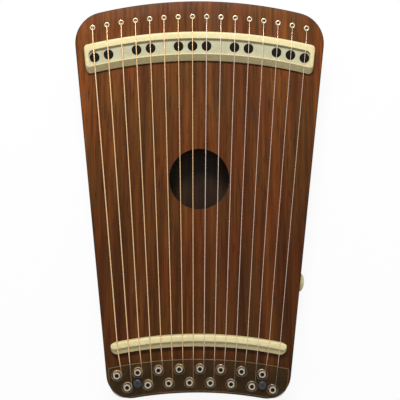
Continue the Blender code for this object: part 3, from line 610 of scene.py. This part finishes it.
def handled(name, clean, soiled, size, roughness, metallic=0.0, bump=0.0, gloss=0.3):
    """Plastic or metal whose colour and gloss vary a little over the surface."""
    material, tree, shader = new_material(name)
    marks = add_marks(tree, size, roughness)
    mix = add_node(tree, "ShaderNodeMix", data_type="RGBA")
    mix.inputs[6].default_value = (*clean, 1)
    mix.inputs[7].default_value = (*soiled, 1)
    tree.links.new(marks.outputs["Mask"], mix.inputs[0])
    tree.links.new(mix.outputs[2], shader.inputs["Base Color"])
    tree.links.new(marks.outputs["Roughness"], shader.inputs["Roughness"])
    shader.inputs["Metallic"].default_value = metallic
    shader.inputs["Specular IOR Level"].default_value = gloss
    if bump:
        lift = add_node(tree, "ShaderNodeBump", Strength=bump, Distance=0.00005)
        tree.links.new(marks.outputs["Mask"], lift.inputs["Height"])
        tree.links.new(lift.outputs[0], shader.inputs["Normal"])
    return material


ivory = handled("ivory", (0.76, 0.67, 0.38), (0.66, 0.57, 0.28), 260.0, (0.32, 0.46), bump=0.2)
# The recess floor is the same ivory plastic, painted darker as shade in the recess.
ivory_recess = handled("ivory_recess", (0.52, 0.50, 0.34), (0.44, 0.42, 0.27), 90.0,
                       (0.45, 0.60), bump=0.2, gloss=0.15)
bridge_bottom = (BRIDGE_TOP[0] - BRIDGE_WIDTH, BRIDGE_TOP[1] - BRIDGE_WIDTH)
bridge_base = FACE_Z + SEAM
bridge_top_z = FACE_Z + BRIDGE_HEIGHT
floor_z = bridge_top_z - RECESS_DEPTH


def bridge_outline(top_in, side_in, bottom_in, corner=BRIDGE_CORNER):
    return outline(BRIDGE_TOP, bridge_bottom, BRIDGE_GAP, (corner, corner),
                   (top_in, side_in, bottom_in), corner_steps=8)


def slope_in(z):
    return SLOPE_WIDTH * max(z - bridge_base - SLOPE_FOOT, 0) / (
        bridge_top_z - bridge_base - SLOPE_FOOT)


def pad_place(index):
    low, high = eyelet_place(index), bearing_place(index)
    step = high - low
    middle = Vector((0, BRIDGE_TOP[0] - BRIDGE_TOP[1]))
    radius = BRIDGE_TOP[1] - RAIL_WIDTH - RECESS_WIDTH / 2
    offset = low - middle
    a, b, c = step.dot(step), offset.dot(step), offset.dot(offset) - radius ** 2
    return low + step * (-b - sqrt(b ** 2 - a * c)) / a


LOWER_BRIDGE = (-0.1335, 0.422)
CROWN_WIDTH = 0.0080
BEARING_MARGIN = 0.0157


def bearing_place(index):
    """Where a string leaves the lower bridge, at the crown's edge towards the pins."""
    middle_y = LOWER_BRIDGE[0] - CROWN_WIDTH
    x = across(index, side_x(middle_y) - BEARING_MARGIN)
    return Vector((x, arc_y(x, middle_y, LOWER_BRIDGE[1] - CROWN_WIDTH)))


bridge_loops = [(bridge_outline(0, 0, 0), bridge_base),
                (bridge_outline(0, 0, 0), bridge_base + SLOPE_FOOT)]
for inset, drop in quarter(RAIL_ROUNDING):
    z = bridge_top_z - drop
    bridge_loops.append((bridge_outline(inset, inset, slope_in(z)), z))
for inset, drop in RECESS_WALL:
    loop = bridge_outline(RAIL_WIDTH + inset, END_WALL + inset,
                          SLOPE_WIDTH + CREST_WIDTH + inset, END_WALL + RECESS_CORNER)
    bridge_loops.append((loop, bridge_top_z - drop))
pad_hole = [(PAD_RADIUS + SEAM, floor_z - PAD_HOLE_DEPTH),
            (PAD_RADIUS + SEAM, floor_z + CUT_PAST)]
pad_holes = [turned("pad_hole", pad_hole, 40, pad_place(index)) for index in PAD_STRINGS]
bridge = drilled(skin("upper_bridge", bridge_loops), [together("pad_holes", pad_holes)])
upper = place("upper_bridge", bridge, ivory, "lyre", ["top_bridge"])
# Painted shade: the floor of the recess takes the darker ivory.
faces_in(upper.data, ivory_recess, lambda face: face.normal.z > 0.9 and
         abs(face.center.z - floor_z) < SEAM)

# Semitone pads
# Twelve round pads of black rubber stand level with the floor of the recess.
# The strip that they are moulded on, in the hollow under the bridge, is left out here.


def make_copies_tree():
    """Sets one piece on every point of the host, as a plain mesh in one material."""
    tree, given, out = new_group(
        "set_on_points", "GeometryNodeTree",
        {"Points": "Geometry", "Piece": "Object", "Finish": "Material", "Lift": "Float"},
        {"Mesh": "Geometry"})
    lift = tree.nodes.new("ShaderNodeCombineXYZ")
    raised = tree.nodes.new("GeometryNodeSetPosition")
    source = tree.nodes.new("GeometryNodeObjectInfo")
    copies = tree.nodes.new("GeometryNodeInstanceOnPoints")
    real = tree.nodes.new("GeometryNodeRealizeInstances")
    finish = tree.nodes.new("GeometryNodeSetMaterial")
    tree.links.new(given.outputs["Lift"], lift.inputs["Z"])
    tree.links.new(given.outputs["Points"], raised.inputs["Geometry"])
    tree.links.new(lift.outputs[0], raised.inputs["Offset"])
    tree.links.new(given.outputs["Piece"], source.inputs["Object"])
    tree.links.new(raised.outputs[0], copies.inputs["Points"])
    tree.links.new(source.outputs["Geometry"], copies.inputs["Instance"])
    tree.links.new(copies.outputs[0], real.inputs[0])
    tree.links.new(real.outputs[0], finish.inputs["Geometry"])
    tree.links.new(given.outputs["Finish"], finish.inputs["Material"])
    tree.links.new(finish.outputs[0], out.inputs[0])
    return tree


set_on_points = make_copies_tree()


def evaluated(host, tree, values):
    """Plain mesh of the host after one node tree, which is then taken off with the host."""
    modifier = host.modifiers.new(tree.name, "NODES")
    modifier.node_group = tree
    for item in tree.interface.items_tree:
        if item.in_out == "INPUT" and item.name in values:
            modifier[item.identifier] = values[item.name]
    bpy.context.scene.collection.objects.link(host)
    graph = bpy.context.evaluated_depsgraph_get()
    mesh = bpy.data.meshes.new_from_object(host.evaluated_get(graph), depsgraph=graph)
    bpy.data.objects.remove(host)
    return mesh


def copies(name, master, places, material, lift=0.0):
    """One mesh of a master set on each place."""
    points = bpy.data.meshes.new(name)
    points.from_pydata([(spot.x, spot.y, 0) for spot in places], [], [])
    shade(master)
    piece = add_object("piece", master)
    mesh = evaluated(bpy.data.objects.new(name, points), set_on_points,
                     {"Piece": piece, "Finish": material, "Lift": lift})
    bpy.data.objects.remove(piece)
    mesh.name = name
    return mesh


pad_black = handled("pad_black", (0.004, 0.004, 0.003), (0.009, 0.008, 0.006), 900.0,
                    (0.50, 0.70), bump=0.3, gloss=0.06)
PAD_ROUNDING = 0.0005
pad_profile = [(PAD_RADIUS, bridge_base + SEAM)]
pad_profile += [(PAD_RADIUS - inset, floor_z - drop) for inset, drop in quarter(PAD_ROUNDING, 3)]
pads = copies("pads", turned("pad", pad_profile, 40),
              [pad_place(index) for index in PAD_STRINGS], pad_black)
place("pads", pads, None, "lyre", ["semitone_pad_strip"])

# Lower bridge
# A narrower arched bar with round ends, in the same plastic as the top bridge.
# Its crown carries the strings, and a step lies lower on the side of the pins. The setback
# and the step's fall match the photograph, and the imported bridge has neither.

LOWER_HEIGHT = 0.0090
LOWER_GAP = 0.0078
STEP_WIDTH = 0.0052
STEP_DROP = 0.0022
LOWER_ROUNDING = 0.0018
STEP_FALL = 0.0020
STEP_EASING = 0.0006
WALL_DRAFT = 0.0001
FRONT_SETBACK = 0.0010
LOWER_WIDTH = CROWN_WIDTH + STEP_WIDTH
lower_bottom = (LOWER_BRIDGE[0] - LOWER_WIDTH, LOWER_BRIDGE[1] - LOWER_WIDTH)
lower_top_z = FACE_Z + LOWER_HEIGHT
step_z = lower_top_z - STEP_DROP


def lower_loop(inset, far_in, z):
    return outline(LOWER_BRIDGE, lower_bottom, LOWER_GAP, (LOWER_WIDTH, LOWER_WIDTH),
                   (inset + FRONT_SETBACK, inset, far_in), corner_steps=8), z


step_edge = step_z - STEP_FALL
lower_loops = [lower_loop(0, 0, bridge_base), lower_loop(0, 0, step_edge - STEP_EASING),
               lower_loop(WALL_DRAFT / 2, STEP_EASING / 3, step_edge - STEP_EASING / 3),
               lower_loop(WALL_DRAFT, STEP_EASING, step_edge),
               lower_loop(WALL_DRAFT, STEP_WIDTH - STEP_EASING - WALL_DRAFT, step_z)]
for inset, drop in quarter(LOWER_ROUNDING, 4):
    lower_loops.append(lower_loop(inset + WALL_DRAFT, STEP_WIDTH + inset * 0.5,
                                  lower_top_z - drop))
place("lower_bridge", skin("lower_bridge", lower_loops), ivory, "lyre",
      ["bottom_bridge"])

# Eyelets
# Sixteen turned eyelets in pale nickel-plated brass, pressed into the soundboard.
# Each has a rolled lip round its bore and guides one string.

EYELET_RADIUS = 0.0029
EYELET_BORE = 0.0012
EYELET_RISE = 0.0008
EYELET_BARREL = 0.00195
EYELET_DEPTH = 0.0025
LIP_STEPS = 8
nickel = handled("nickel", (0.66, 0.55, 0.40), (0.48, 0.38, 0.26), 700.0, (0.22, 0.38),
                 metallic=0.85)
lip_middle = (EYELET_RADIUS + EYELET_BORE) / 2
lip_half = (EYELET_RADIUS - EYELET_BORE) / 2
eyelet_profile = [(EYELET_BORE, -EYELET_DEPTH), (EYELET_BARREL, -EYELET_DEPTH),
                  (EYELET_BARREL, SEAM)]
for step in range(LIP_STEPS + 1):
    angle = pi * step / LIP_STEPS
    eyelet_profile.append((lip_middle + lip_half * cos(angle), SEAM + EYELET_RISE * sin(angle)))
eyelets = copies("eyelets", turned("eyelet", eyelet_profile, 32, ring=True),
                 [eyelet_place(index) for index in STRINGS], nickel, FACE_Z)
place("eyelets", eyelets, None, "lyre", [f"eyelet_{index:02d}" for index in STRINGS])

# Tuning pins
# Sixteen plated steel pins turn in the foot block, each on its own axis.
# A pin has a waist that the string winds on and a head with a hexagonal socket.

COVER_GAP = 0.011
COVER_THICKNESS = 0.0025
PIN_RISE = 0.0025
PIN_TOP = COVER_GAP + COVER_THICKNESS + PIN_RISE
PIN_HEAD = 0.0036
PIN_WAIST = 0.0030
PIN_SHANK = 0.0025
SHANK_DEPTH = 0.028
WAIST_FOOT = 0.0006
WAIST_TOP = 0.0095
HEAD_FOOT = 0.0101
HEAD_ROUNDING = ((0.0, 0.0007), (0.0002, 0.0003), (0.0006, 0.0))
SOCKET_RADIUS = 0.0021
SOCKET_DEPTH = 0.0055
SOCKET_MARGIN = 0.0004
PIN_SIDES = 36


def hexagon(radius, sides):
    """A hexagon with as many points as a circle of the given sides."""
    corners = [radius * Vector((cos(tau * k / 6), sin(tau * k / 6))) for k in range(6)]
    points = []
    for step in range(sides):
        position = step * 6 / sides
        corner = int(position)
        points.append(corners[corner].lerp(corners[(corner + 1) % 6], position - corner))
    return points


def socket_loops(radius, top, depth, sides):
    """Loops of a hexagonal socket with a countersunk mouth, from the top down."""
    return [(hexagon(radius * 1.12, sides), top), (hexagon(radius, sides), top - radius * 0.12),
            (hexagon(radius, sides), top - depth)]


pin_steel = handled("pin_steel", (0.56, 0.50, 0.40), (0.36, 0.31, 0.23), 700.0, (0.16, 0.34),
                    metallic=0.9)
# The socket colour is painted shade inside the hexagonal socket, which is the same steel as the
# pin.
socket_dark = handled("socket_dark", (0.020, 0.014, 0.009), (0.050, 0.038, 0.026), 700.0,
                      (0.30, 0.50), metallic=0.5)
pin_profile = [(PIN_SHANK, -SHANK_DEPTH), (PIN_SHANK, WAIST_FOOT), (PIN_WAIST, WAIST_FOOT),
               (PIN_WAIST, WAIST_TOP), (PIN_HEAD, HEAD_FOOT)]
pin_profile += [(PIN_HEAD - inset, PIN_TOP - drop) for inset, drop in HEAD_ROUNDING]
socket_mouth = FACE_Z + PIN_TOP - SOCKET_MARGIN
for index in STRINGS:
    loops = [(circle(radius, PIN_SIDES), z) for radius, z in pin_profile]
    loops += socket_loops(SOCKET_RADIUS, PIN_TOP, SOCKET_DEPTH, PIN_SIDES)
    name = f"pin_{index:02d}"
    pin = copies(name, skin(name, loops), [pin_axis(index)], pin_steel, FACE_Z)
    place(name, pin, None, f"tuning_pin_{index:02d}", [f"tuning_pin_{index:02d}"])
    middle = pin_axis(index)
    # Painted shade: the faces inside each socket take the dark socket colour.
    faces_in(pin, socket_dark, lambda face: socket_mouth - SOCKET_DEPTH < face.center.z and
             face.center.z < socket_mouth and
             (face.center.to_2d() - middle).length < SOCKET_RADIUS * 1.05)

# Strings
# Eight bronze-wound strings on the left and eight plain steel ones on the right.
# Each runs from its ball end up through its eyelet, over both bridges and round its pin.

LOW_GAUGE = 0.00115
HIGH_GAUGE = 0.00045
BEND_RADIUS = 0.003
BEND_STEPS = 8
WIRE_SIDES = 12
BALL_RADIUS = 0.0021
BALL_FOOT = 0.0008
BALL_TOP = 0.0040
BALL_EASING = 0.0005
COIL_TURNS = 2.25
COIL_POINTS = 24
COIL_GAP = 0.0012
RUNNING_GAP = 0.0003
WRAP_PITCH = 0.00022


def wire_radius(index):
    return LOW_GAUGE * (HIGH_GAUGE / LOW_GAUGE) ** ((index - 1) / (STRING_COUNT - 1)) / 2


def meet(start, end, middle_y, radius):
    """Upper point where the line through start and end crosses an arc."""
    step = end - start
    offset = start - Vector((0, middle_y - radius))
    a, b, c = step.dot(step), offset.dot(step), offset.dot(offset) - radius ** 2
    root = sqrt(b ** 2 - a * c)
    return max((start + step * (-b + sign * root) / a for sign in (-1, 1)), key=lambda p: p.y)


def touch_angle(centre, radius, outside, side):
    """Angle on a circle where a straight line from an outside point touches it."""
    reach = outside - centre
    return atan2(reach.y, reach.x) + side * acos(radius / reach.length)


def string_route(index):
    """Points from the ball end, through the eyelet, over both bridges and round the pin."""
    wire = wire_radius(index)
    eyelet, bearing, pin = eyelet_place(index), bearing_place(index), pin_axis(index)
    ahead = (bearing - eyelet).normalized()
    rail_z = FACE_Z + BRIDGE_HEIGHT + SEAM + wire
    rail = meet(eyelet, bearing, BRIDGE_TOP[0] - RAIL_ROUNDING, BRIDGE_TOP[1] - RAIL_ROUNDING)
    crest_in = RAIL_WIDTH + RECESS_WIDTH + CREST_WIDTH / 2
    crest = meet(eyelet, bearing, BRIDGE_TOP[0] - crest_in, BRIDGE_TOP[1] - crest_in)
    route = [Vector((eyelet.x, eyelet.y, RIM_Z - SEAM))]
    seen = Vector(((rail - eyelet).length, rail_z))
    last = touch_angle(Vector((BEND_RADIUS, FACE_Z)), BEND_RADIUS, seen, 1)
    for step in range(BEND_STEPS + 1):
        angle = pi + (last - pi) * step / BEND_STEPS
        spot = eyelet + ahead * BEND_RADIUS * (1 + cos(angle))
        route.append(Vector((spot.x, spot.y, FACE_Z + BEND_RADIUS * sin(angle))))
    route += [Vector((rail.x, rail.y, rail_z)), Vector((crest.x, crest.y, rail_z)),
              Vector((bearing.x, bearing.y, FACE_Z + LOWER_HEIGHT + SEAM + wire))]
    coil = PIN_WAIST + RUNNING_GAP + wire
    pitch = 2 * wire + COIL_GAP
    start_z = FACE_Z + (WAIST_FOOT + WAIST_TOP - COIL_TURNS * pitch) / 2
    first = touch_angle(pin, coil, bearing, -1)
    for step in range(round(COIL_TURNS * COIL_POINTS) + 1):
        turned_by = step / COIL_POINTS
        angle = first - tau * turned_by
        spot = pin + coil * Vector((cos(angle), sin(angle)))
        route.append(Vector((spot.x, spot.y, start_z + pitch * turned_by)))
    tail = (route[-1] - route[-2]).normalized()
    return route + [route[-1] + 2 * wire * tail]


def make_wire_tree():
    """A tube of each point's radius along the host's routes, with its run length kept."""
    tree, given, out = new_group(
        "drawn_wire", "GeometryNodeTree",
        {"Routes": "Geometry", "Sides": "Int", "Finish": "Material"}, {"Mesh": "Geometry"})
    length = tree.nodes.new("GeometryNodeSplineParameter")
    store = add_node(tree, "GeometryNodeStoreNamedAttribute", data_type="FLOAT",
                     domain="POINT")
    store.inputs["Name"].default_value = "run"
    circle_curve = tree.nodes.new("GeometryNodeCurvePrimitiveCircle")
    circle_curve.inputs["Radius"].default_value = 1.0
    radius = tree.nodes.new("GeometryNodeInputRadius")
    tube = tree.nodes.new("GeometryNodeCurveToMesh")
    tube.inputs["Fill Caps"].default_value = True
    finish = tree.nodes.new("GeometryNodeSetMaterial")
    real = tree.nodes.new("GeometryNodeRealizeInstances")
    tree.links.new(given.outputs["Routes"], store.inputs["Geometry"])
    tree.links.new(length.outputs["Length"], store.inputs["Value"])
    tree.links.new(given.outputs["Sides"], circle_curve.inputs["Resolution"])
    tree.links.new(store.outputs[0], tube.inputs["Curve"])
    tree.links.new(circle_curve.outputs[0], tube.inputs["Profile Curve"])
    tree.links.new(radius.outputs[0], tube.inputs["Scale"])
    tree.links.new(tube.outputs[0], real.inputs[0])
    tree.links.new(real.outputs[0], finish.inputs["Geometry"])
    tree.links.new(given.outputs["Finish"], finish.inputs["Material"])
    tree.links.new(finish.outputs[0], out.inputs[0])
    return tree


drawn_wire = make_wire_tree()


def drawn(name, indices, material):
    """Mesh of several strings, each along its own route and as thick as its gauge."""
    curve = bpy.data.curves.new(name, "CURVE")
    curve.dimensions = "3D"
    for index in indices:
        route = string_route(index)
        spline = curve.splines.new("POLY")
        spline.points.add(len(route) - 1)
        for point, spot in zip(spline.points, route):
            point.co = (*spot, 1)
            point.radius = wire_radius(index)
    mesh = evaluated(bpy.data.objects.new(name, curve), drawn_wire,
                     {"Sides": WIRE_SIDES, "Finish": material})
    mesh.name = name
    return mesh


bronze_wire = handled("bronze_wire", (0.86, 0.60, 0.34), (0.70, 0.46, 0.24), 500.0,
                      (0.30, 0.42), metallic=0.7)
steel_wire = handled("steel_wire", (0.78, 0.62, 0.52), (0.64, 0.48, 0.40), 500.0,
                     (0.28, 0.40), metallic=0.7)
wrap_tree = bronze_wire.node_tree
wrap_run = add_node(wrap_tree, "ShaderNodeAttribute", attribute_name="run")
wrap_turns = add_node(wrap_tree, "ShaderNodeMath", operation="MULTIPLY")
wrap_turns.inputs[1].default_value = tau / WRAP_PITCH
wrap_wave = add_node(wrap_tree, "ShaderNodeMath", operation="SINE")
wrap_bump = add_node(wrap_tree, "ShaderNodeBump", Strength=0.35, Distance=0.00004)
wrap_tree.links.new(wrap_run.outputs["Fac"], wrap_turns.inputs[0])
wrap_tree.links.new(wrap_turns.outputs[0], wrap_wave.inputs[0])
wrap_tree.links.new(wrap_wave.outputs[0], wrap_bump.inputs["Height"])
wrap_tree.links.new(wrap_bump.outputs[0], wrap_tree.nodes["Principled BSDF"].inputs["Normal"])

WOUND = range(1, STRING_COUNT // 2 + 1)
PLAIN = range(STRING_COUNT // 2 + 1, STRING_COUNT + 1)
place("wound_strings", drawn("wound_strings", WOUND, bronze_wire), None, "lyre",
      [f"string_{index:02d}" for index in WOUND])
place("plain_strings", drawn("plain_strings", PLAIN, steel_wire), None, "lyre",
      [f"string_{index:02d}" for index in PLAIN])
ball_profile = [(BALL_RADIUS - BALL_EASING, BALL_FOOT), (BALL_RADIUS, BALL_FOOT + BALL_EASING),
                (BALL_RADIUS, BALL_TOP - BALL_EASING), (BALL_RADIUS - BALL_EASING, BALL_TOP)]
balls = copies("ball_ends", turned("ball", ball_profile, 24),
               [eyelet_place(index) for index in STRINGS], nickel)
place("ball_ends", balls, None, "lyre")

# Cover spacers and screws
# Two black tubes hold the cover off the soundboard, and a domed black screw
# with a hexagonal socket goes through each into the foot block.

SCREW_SIDES = 36
SPACER_BORE = 0.0019
SPACER_RADIUS = 0.00425
SPACER_EASING = (0.0001, 0.0002)
SCREW_SHAFT = 0.0015
SCREW_REACH = 0.012
SCREW_HEAD = 0.0042
SCREW_BROW = 0.0009
SCREW_DOME = 0.0016
SCREW_DOME_STEPS = 6
SCREW_SOCKET = 0.0014
SCREW_SOCKET_DEPTH = 0.0015
fastener_black = handled("fastener_black", (0.014, 0.015, 0.018), (0.045, 0.048, 0.056), 700.0,
                         (0.22, 0.40), metallic=0.3, gloss=0.4)
spacer_top = COVER_GAP - SEAM
spacer_lip = SPACER_RADIUS - SPACER_EASING[0]
tube = [(SPACER_BORE, SEAM), (spacer_lip, SEAM), (SPACER_RADIUS, SEAM + SPACER_EASING[1]),
        (SPACER_RADIUS, spacer_top - SPACER_EASING[1]), (spacer_lip, spacer_top),
        (SPACER_BORE, spacer_top)]
under = COVER_GAP + COVER_THICKNESS + SEAM
head = [(SCREW_SHAFT, -SCREW_REACH), (SCREW_SHAFT, under), (SCREW_HEAD, under)]
for step in range(SCREW_DOME_STEPS + 1):
    angle = pi / 2 * step / SCREW_DOME_STEPS
    head.append((SCREW_HEAD - SCREW_DOME + SCREW_DOME * cos(angle),
                 under + SCREW_BROW + SCREW_DOME * sin(angle)))
for side in ("left", "right"):
    axis = box_axis(f"cover_spacer_{side}")
    spacer = copies(f"spacer_{side}", turned("spacer", tube, SCREW_SIDES, ring=True), [axis],
                    fastener_black, FACE_Z)
    place(f"spacer_{side}", spacer, None, "lyre", [f"cover_spacer_{side}"])
    screw_loops = [(circle(radius, SCREW_SIDES), z) for radius, z in head]
    screw_loops += socket_loops(SCREW_SOCKET, under + SCREW_BROW + SCREW_DOME,
                                SCREW_SOCKET_DEPTH, SCREW_SIDES)
    screw = copies(f"screw_{side}", skin("screw", screw_loops), [axis], fastener_black, FACE_Z)
    place(f"screw_{side}", screw, None, "lyre", [f"cover_screw_{side}"])

# Pin cover
# A plate of smoke-tinted clear acrylic follows the foot's outline over the pins.
# Its edges are polished, and it has a round hole for the key over each pin.

COVER_Z = FACE_Z + COVER_GAP
COVER_TOP_Z = COVER_Z + COVER_THICKNESS
COVER_BRIDGE_GAP = 0.0115
COVER_ARC = (LOWER_BRIDGE[0] - LOWER_WIDTH - COVER_BRIDGE_GAP, 0.430)
COVER_INSET = 0.004
COVER_CORNER = 0.002
COVER_EASING = 0.0005
COVER_HOLE = 0.0052
KEY_HOLE_EASING = 0.0006
cover_foot = (hollow_middle() + COVER_INSET, HOLLOW_RADIUS + COVER_INSET)


def cover_loop(inset, z):
    return outline(COVER_ARC, cover_foot, COVER_INSET,
                   (COVER_CORNER, FOOT_CORNER - COVER_INSET), (inset, inset, inset)), z


def make_smoke():
    """Tinted clear acrylic, more solid where its edges are seen, and paler there with a painted
    highlight.
    """
    material, tree, shader = new_material("smoky_clear")
    marks = add_marks(tree, 60.0, (0.05, 0.13))
    shape = add_node(tree, "ShaderNodeNewGeometry")
    parts = add_node(tree, "ShaderNodeSeparateXYZ")
    level = add_node(tree, "ShaderNodeMath", operation="ABSOLUTE")
    edge = add_node(tree, "ShaderNodeMapRange", From_Min=0.98, From_Max=0.70)
    # Painted highlight: faces that tilt away from up turn from the dark smoke tint to a pale
    # colour.
    tint = add_node(tree, "ShaderNodeMix", data_type="RGBA")
    tint.inputs[6].default_value = (0.030, 0.022, 0.006, 1)
    tint.inputs[7].default_value = (0.30, 0.25, 0.15, 1)
    solid = add_node(tree, "ShaderNodeMapRange", To_Min=0.30, To_Max=0.62)
    shader.inputs["Specular IOR Level"].default_value = 0.15
    tree.links.new(shape.outputs["Normal"], parts.inputs[0])
    tree.links.new(parts.outputs["Z"], level.inputs[0])
    tree.links.new(level.outputs[0], edge.inputs["Value"])
    tree.links.new(edge.outputs["Result"], tint.inputs[0])
    tree.links.new(edge.outputs["Result"], solid.inputs["Value"])
    tree.links.new(tint.outputs[2], shader.inputs["Base Color"])
    tree.links.new(solid.outputs["Result"], shader.inputs["Alpha"])
    tree.links.new(marks.outputs["Roughness"], shader.inputs["Roughness"])
    shader.inputs["IOR"].default_value = 1.49
    return material


smoky_clear = make_smoke()
cover_edge = quarter(COVER_EASING, 3)
cover_loops = [cover_loop(inset, COVER_Z + drop) for inset, drop in reversed(cover_edge)]
cover_loops += [cover_loop(inset, COVER_TOP_Z - drop) for inset, drop in cover_edge]
key_hole = [(COVER_HOLE, COVER_Z - CUT_PAST), (COVER_HOLE, COVER_TOP_Z - 0.0004),
            (COVER_HOLE + KEY_HOLE_EASING, COVER_TOP_Z + 0.0002),
            (COVER_HOLE + KEY_HOLE_EASING, COVER_TOP_Z + CUT_PAST)]
key_holes = [turned("key_hole", key_hole, 40, pin_axis(index)) for index in STRINGS]
cover = drilled(skin("cover", cover_loops), [together("key_holes", key_holes)])
place("cover", cover, smoky_clear, "lyre", ["pin_cover"])

# Strap button
# A low domed button in the bridges' ivory-coloured plastic, on the right-hand side wall.
# Its shank goes into the wall halfway up the rim.

BUTTON_Y = 0.1158 - BODY_LENGTH / 2
BUTTON_RADIUS = 0.0093
BUTTON_SHANK = 0.002
BUTTON_SHANK_DEPTH = 0.006
BUTTON_EASING = 0.0004
BUTTON_WALL = 0.0012
BUTTON_DOME = 0.0040
BUTTON_STEPS = 9
button_profile = [(BUTTON_SHANK, -BUTTON_SHANK_DEPTH), (BUTTON_SHANK, 0),
                  (BUTTON_RADIUS - BUTTON_EASING, 0), (BUTTON_RADIUS, BUTTON_EASING)]
for step in range(BUTTON_STEPS):
    angle = pi / 2 * step / BUTTON_STEPS
    button_profile.append((BUTTON_RADIUS * cos(angle), BUTTON_WALL + BUTTON_DOME * sin(angle)))
button = turned("button", button_profile, 48)
outward = Vector((1, -SIDE_SLOPE, 0)).normalized()
wall_middle = Vector((side_x(BUTTON_Y), BUTTON_Y, RIM_Z + RIM_DEPTH / 2))
button.transform(outward.to_track_quat("Z", "Y").to_matrix().to_4x4())
button.transform(Matrix.Translation(wall_middle + outward * SEAM))
place("button", button, ivory, "lyre", ["strap_button"])
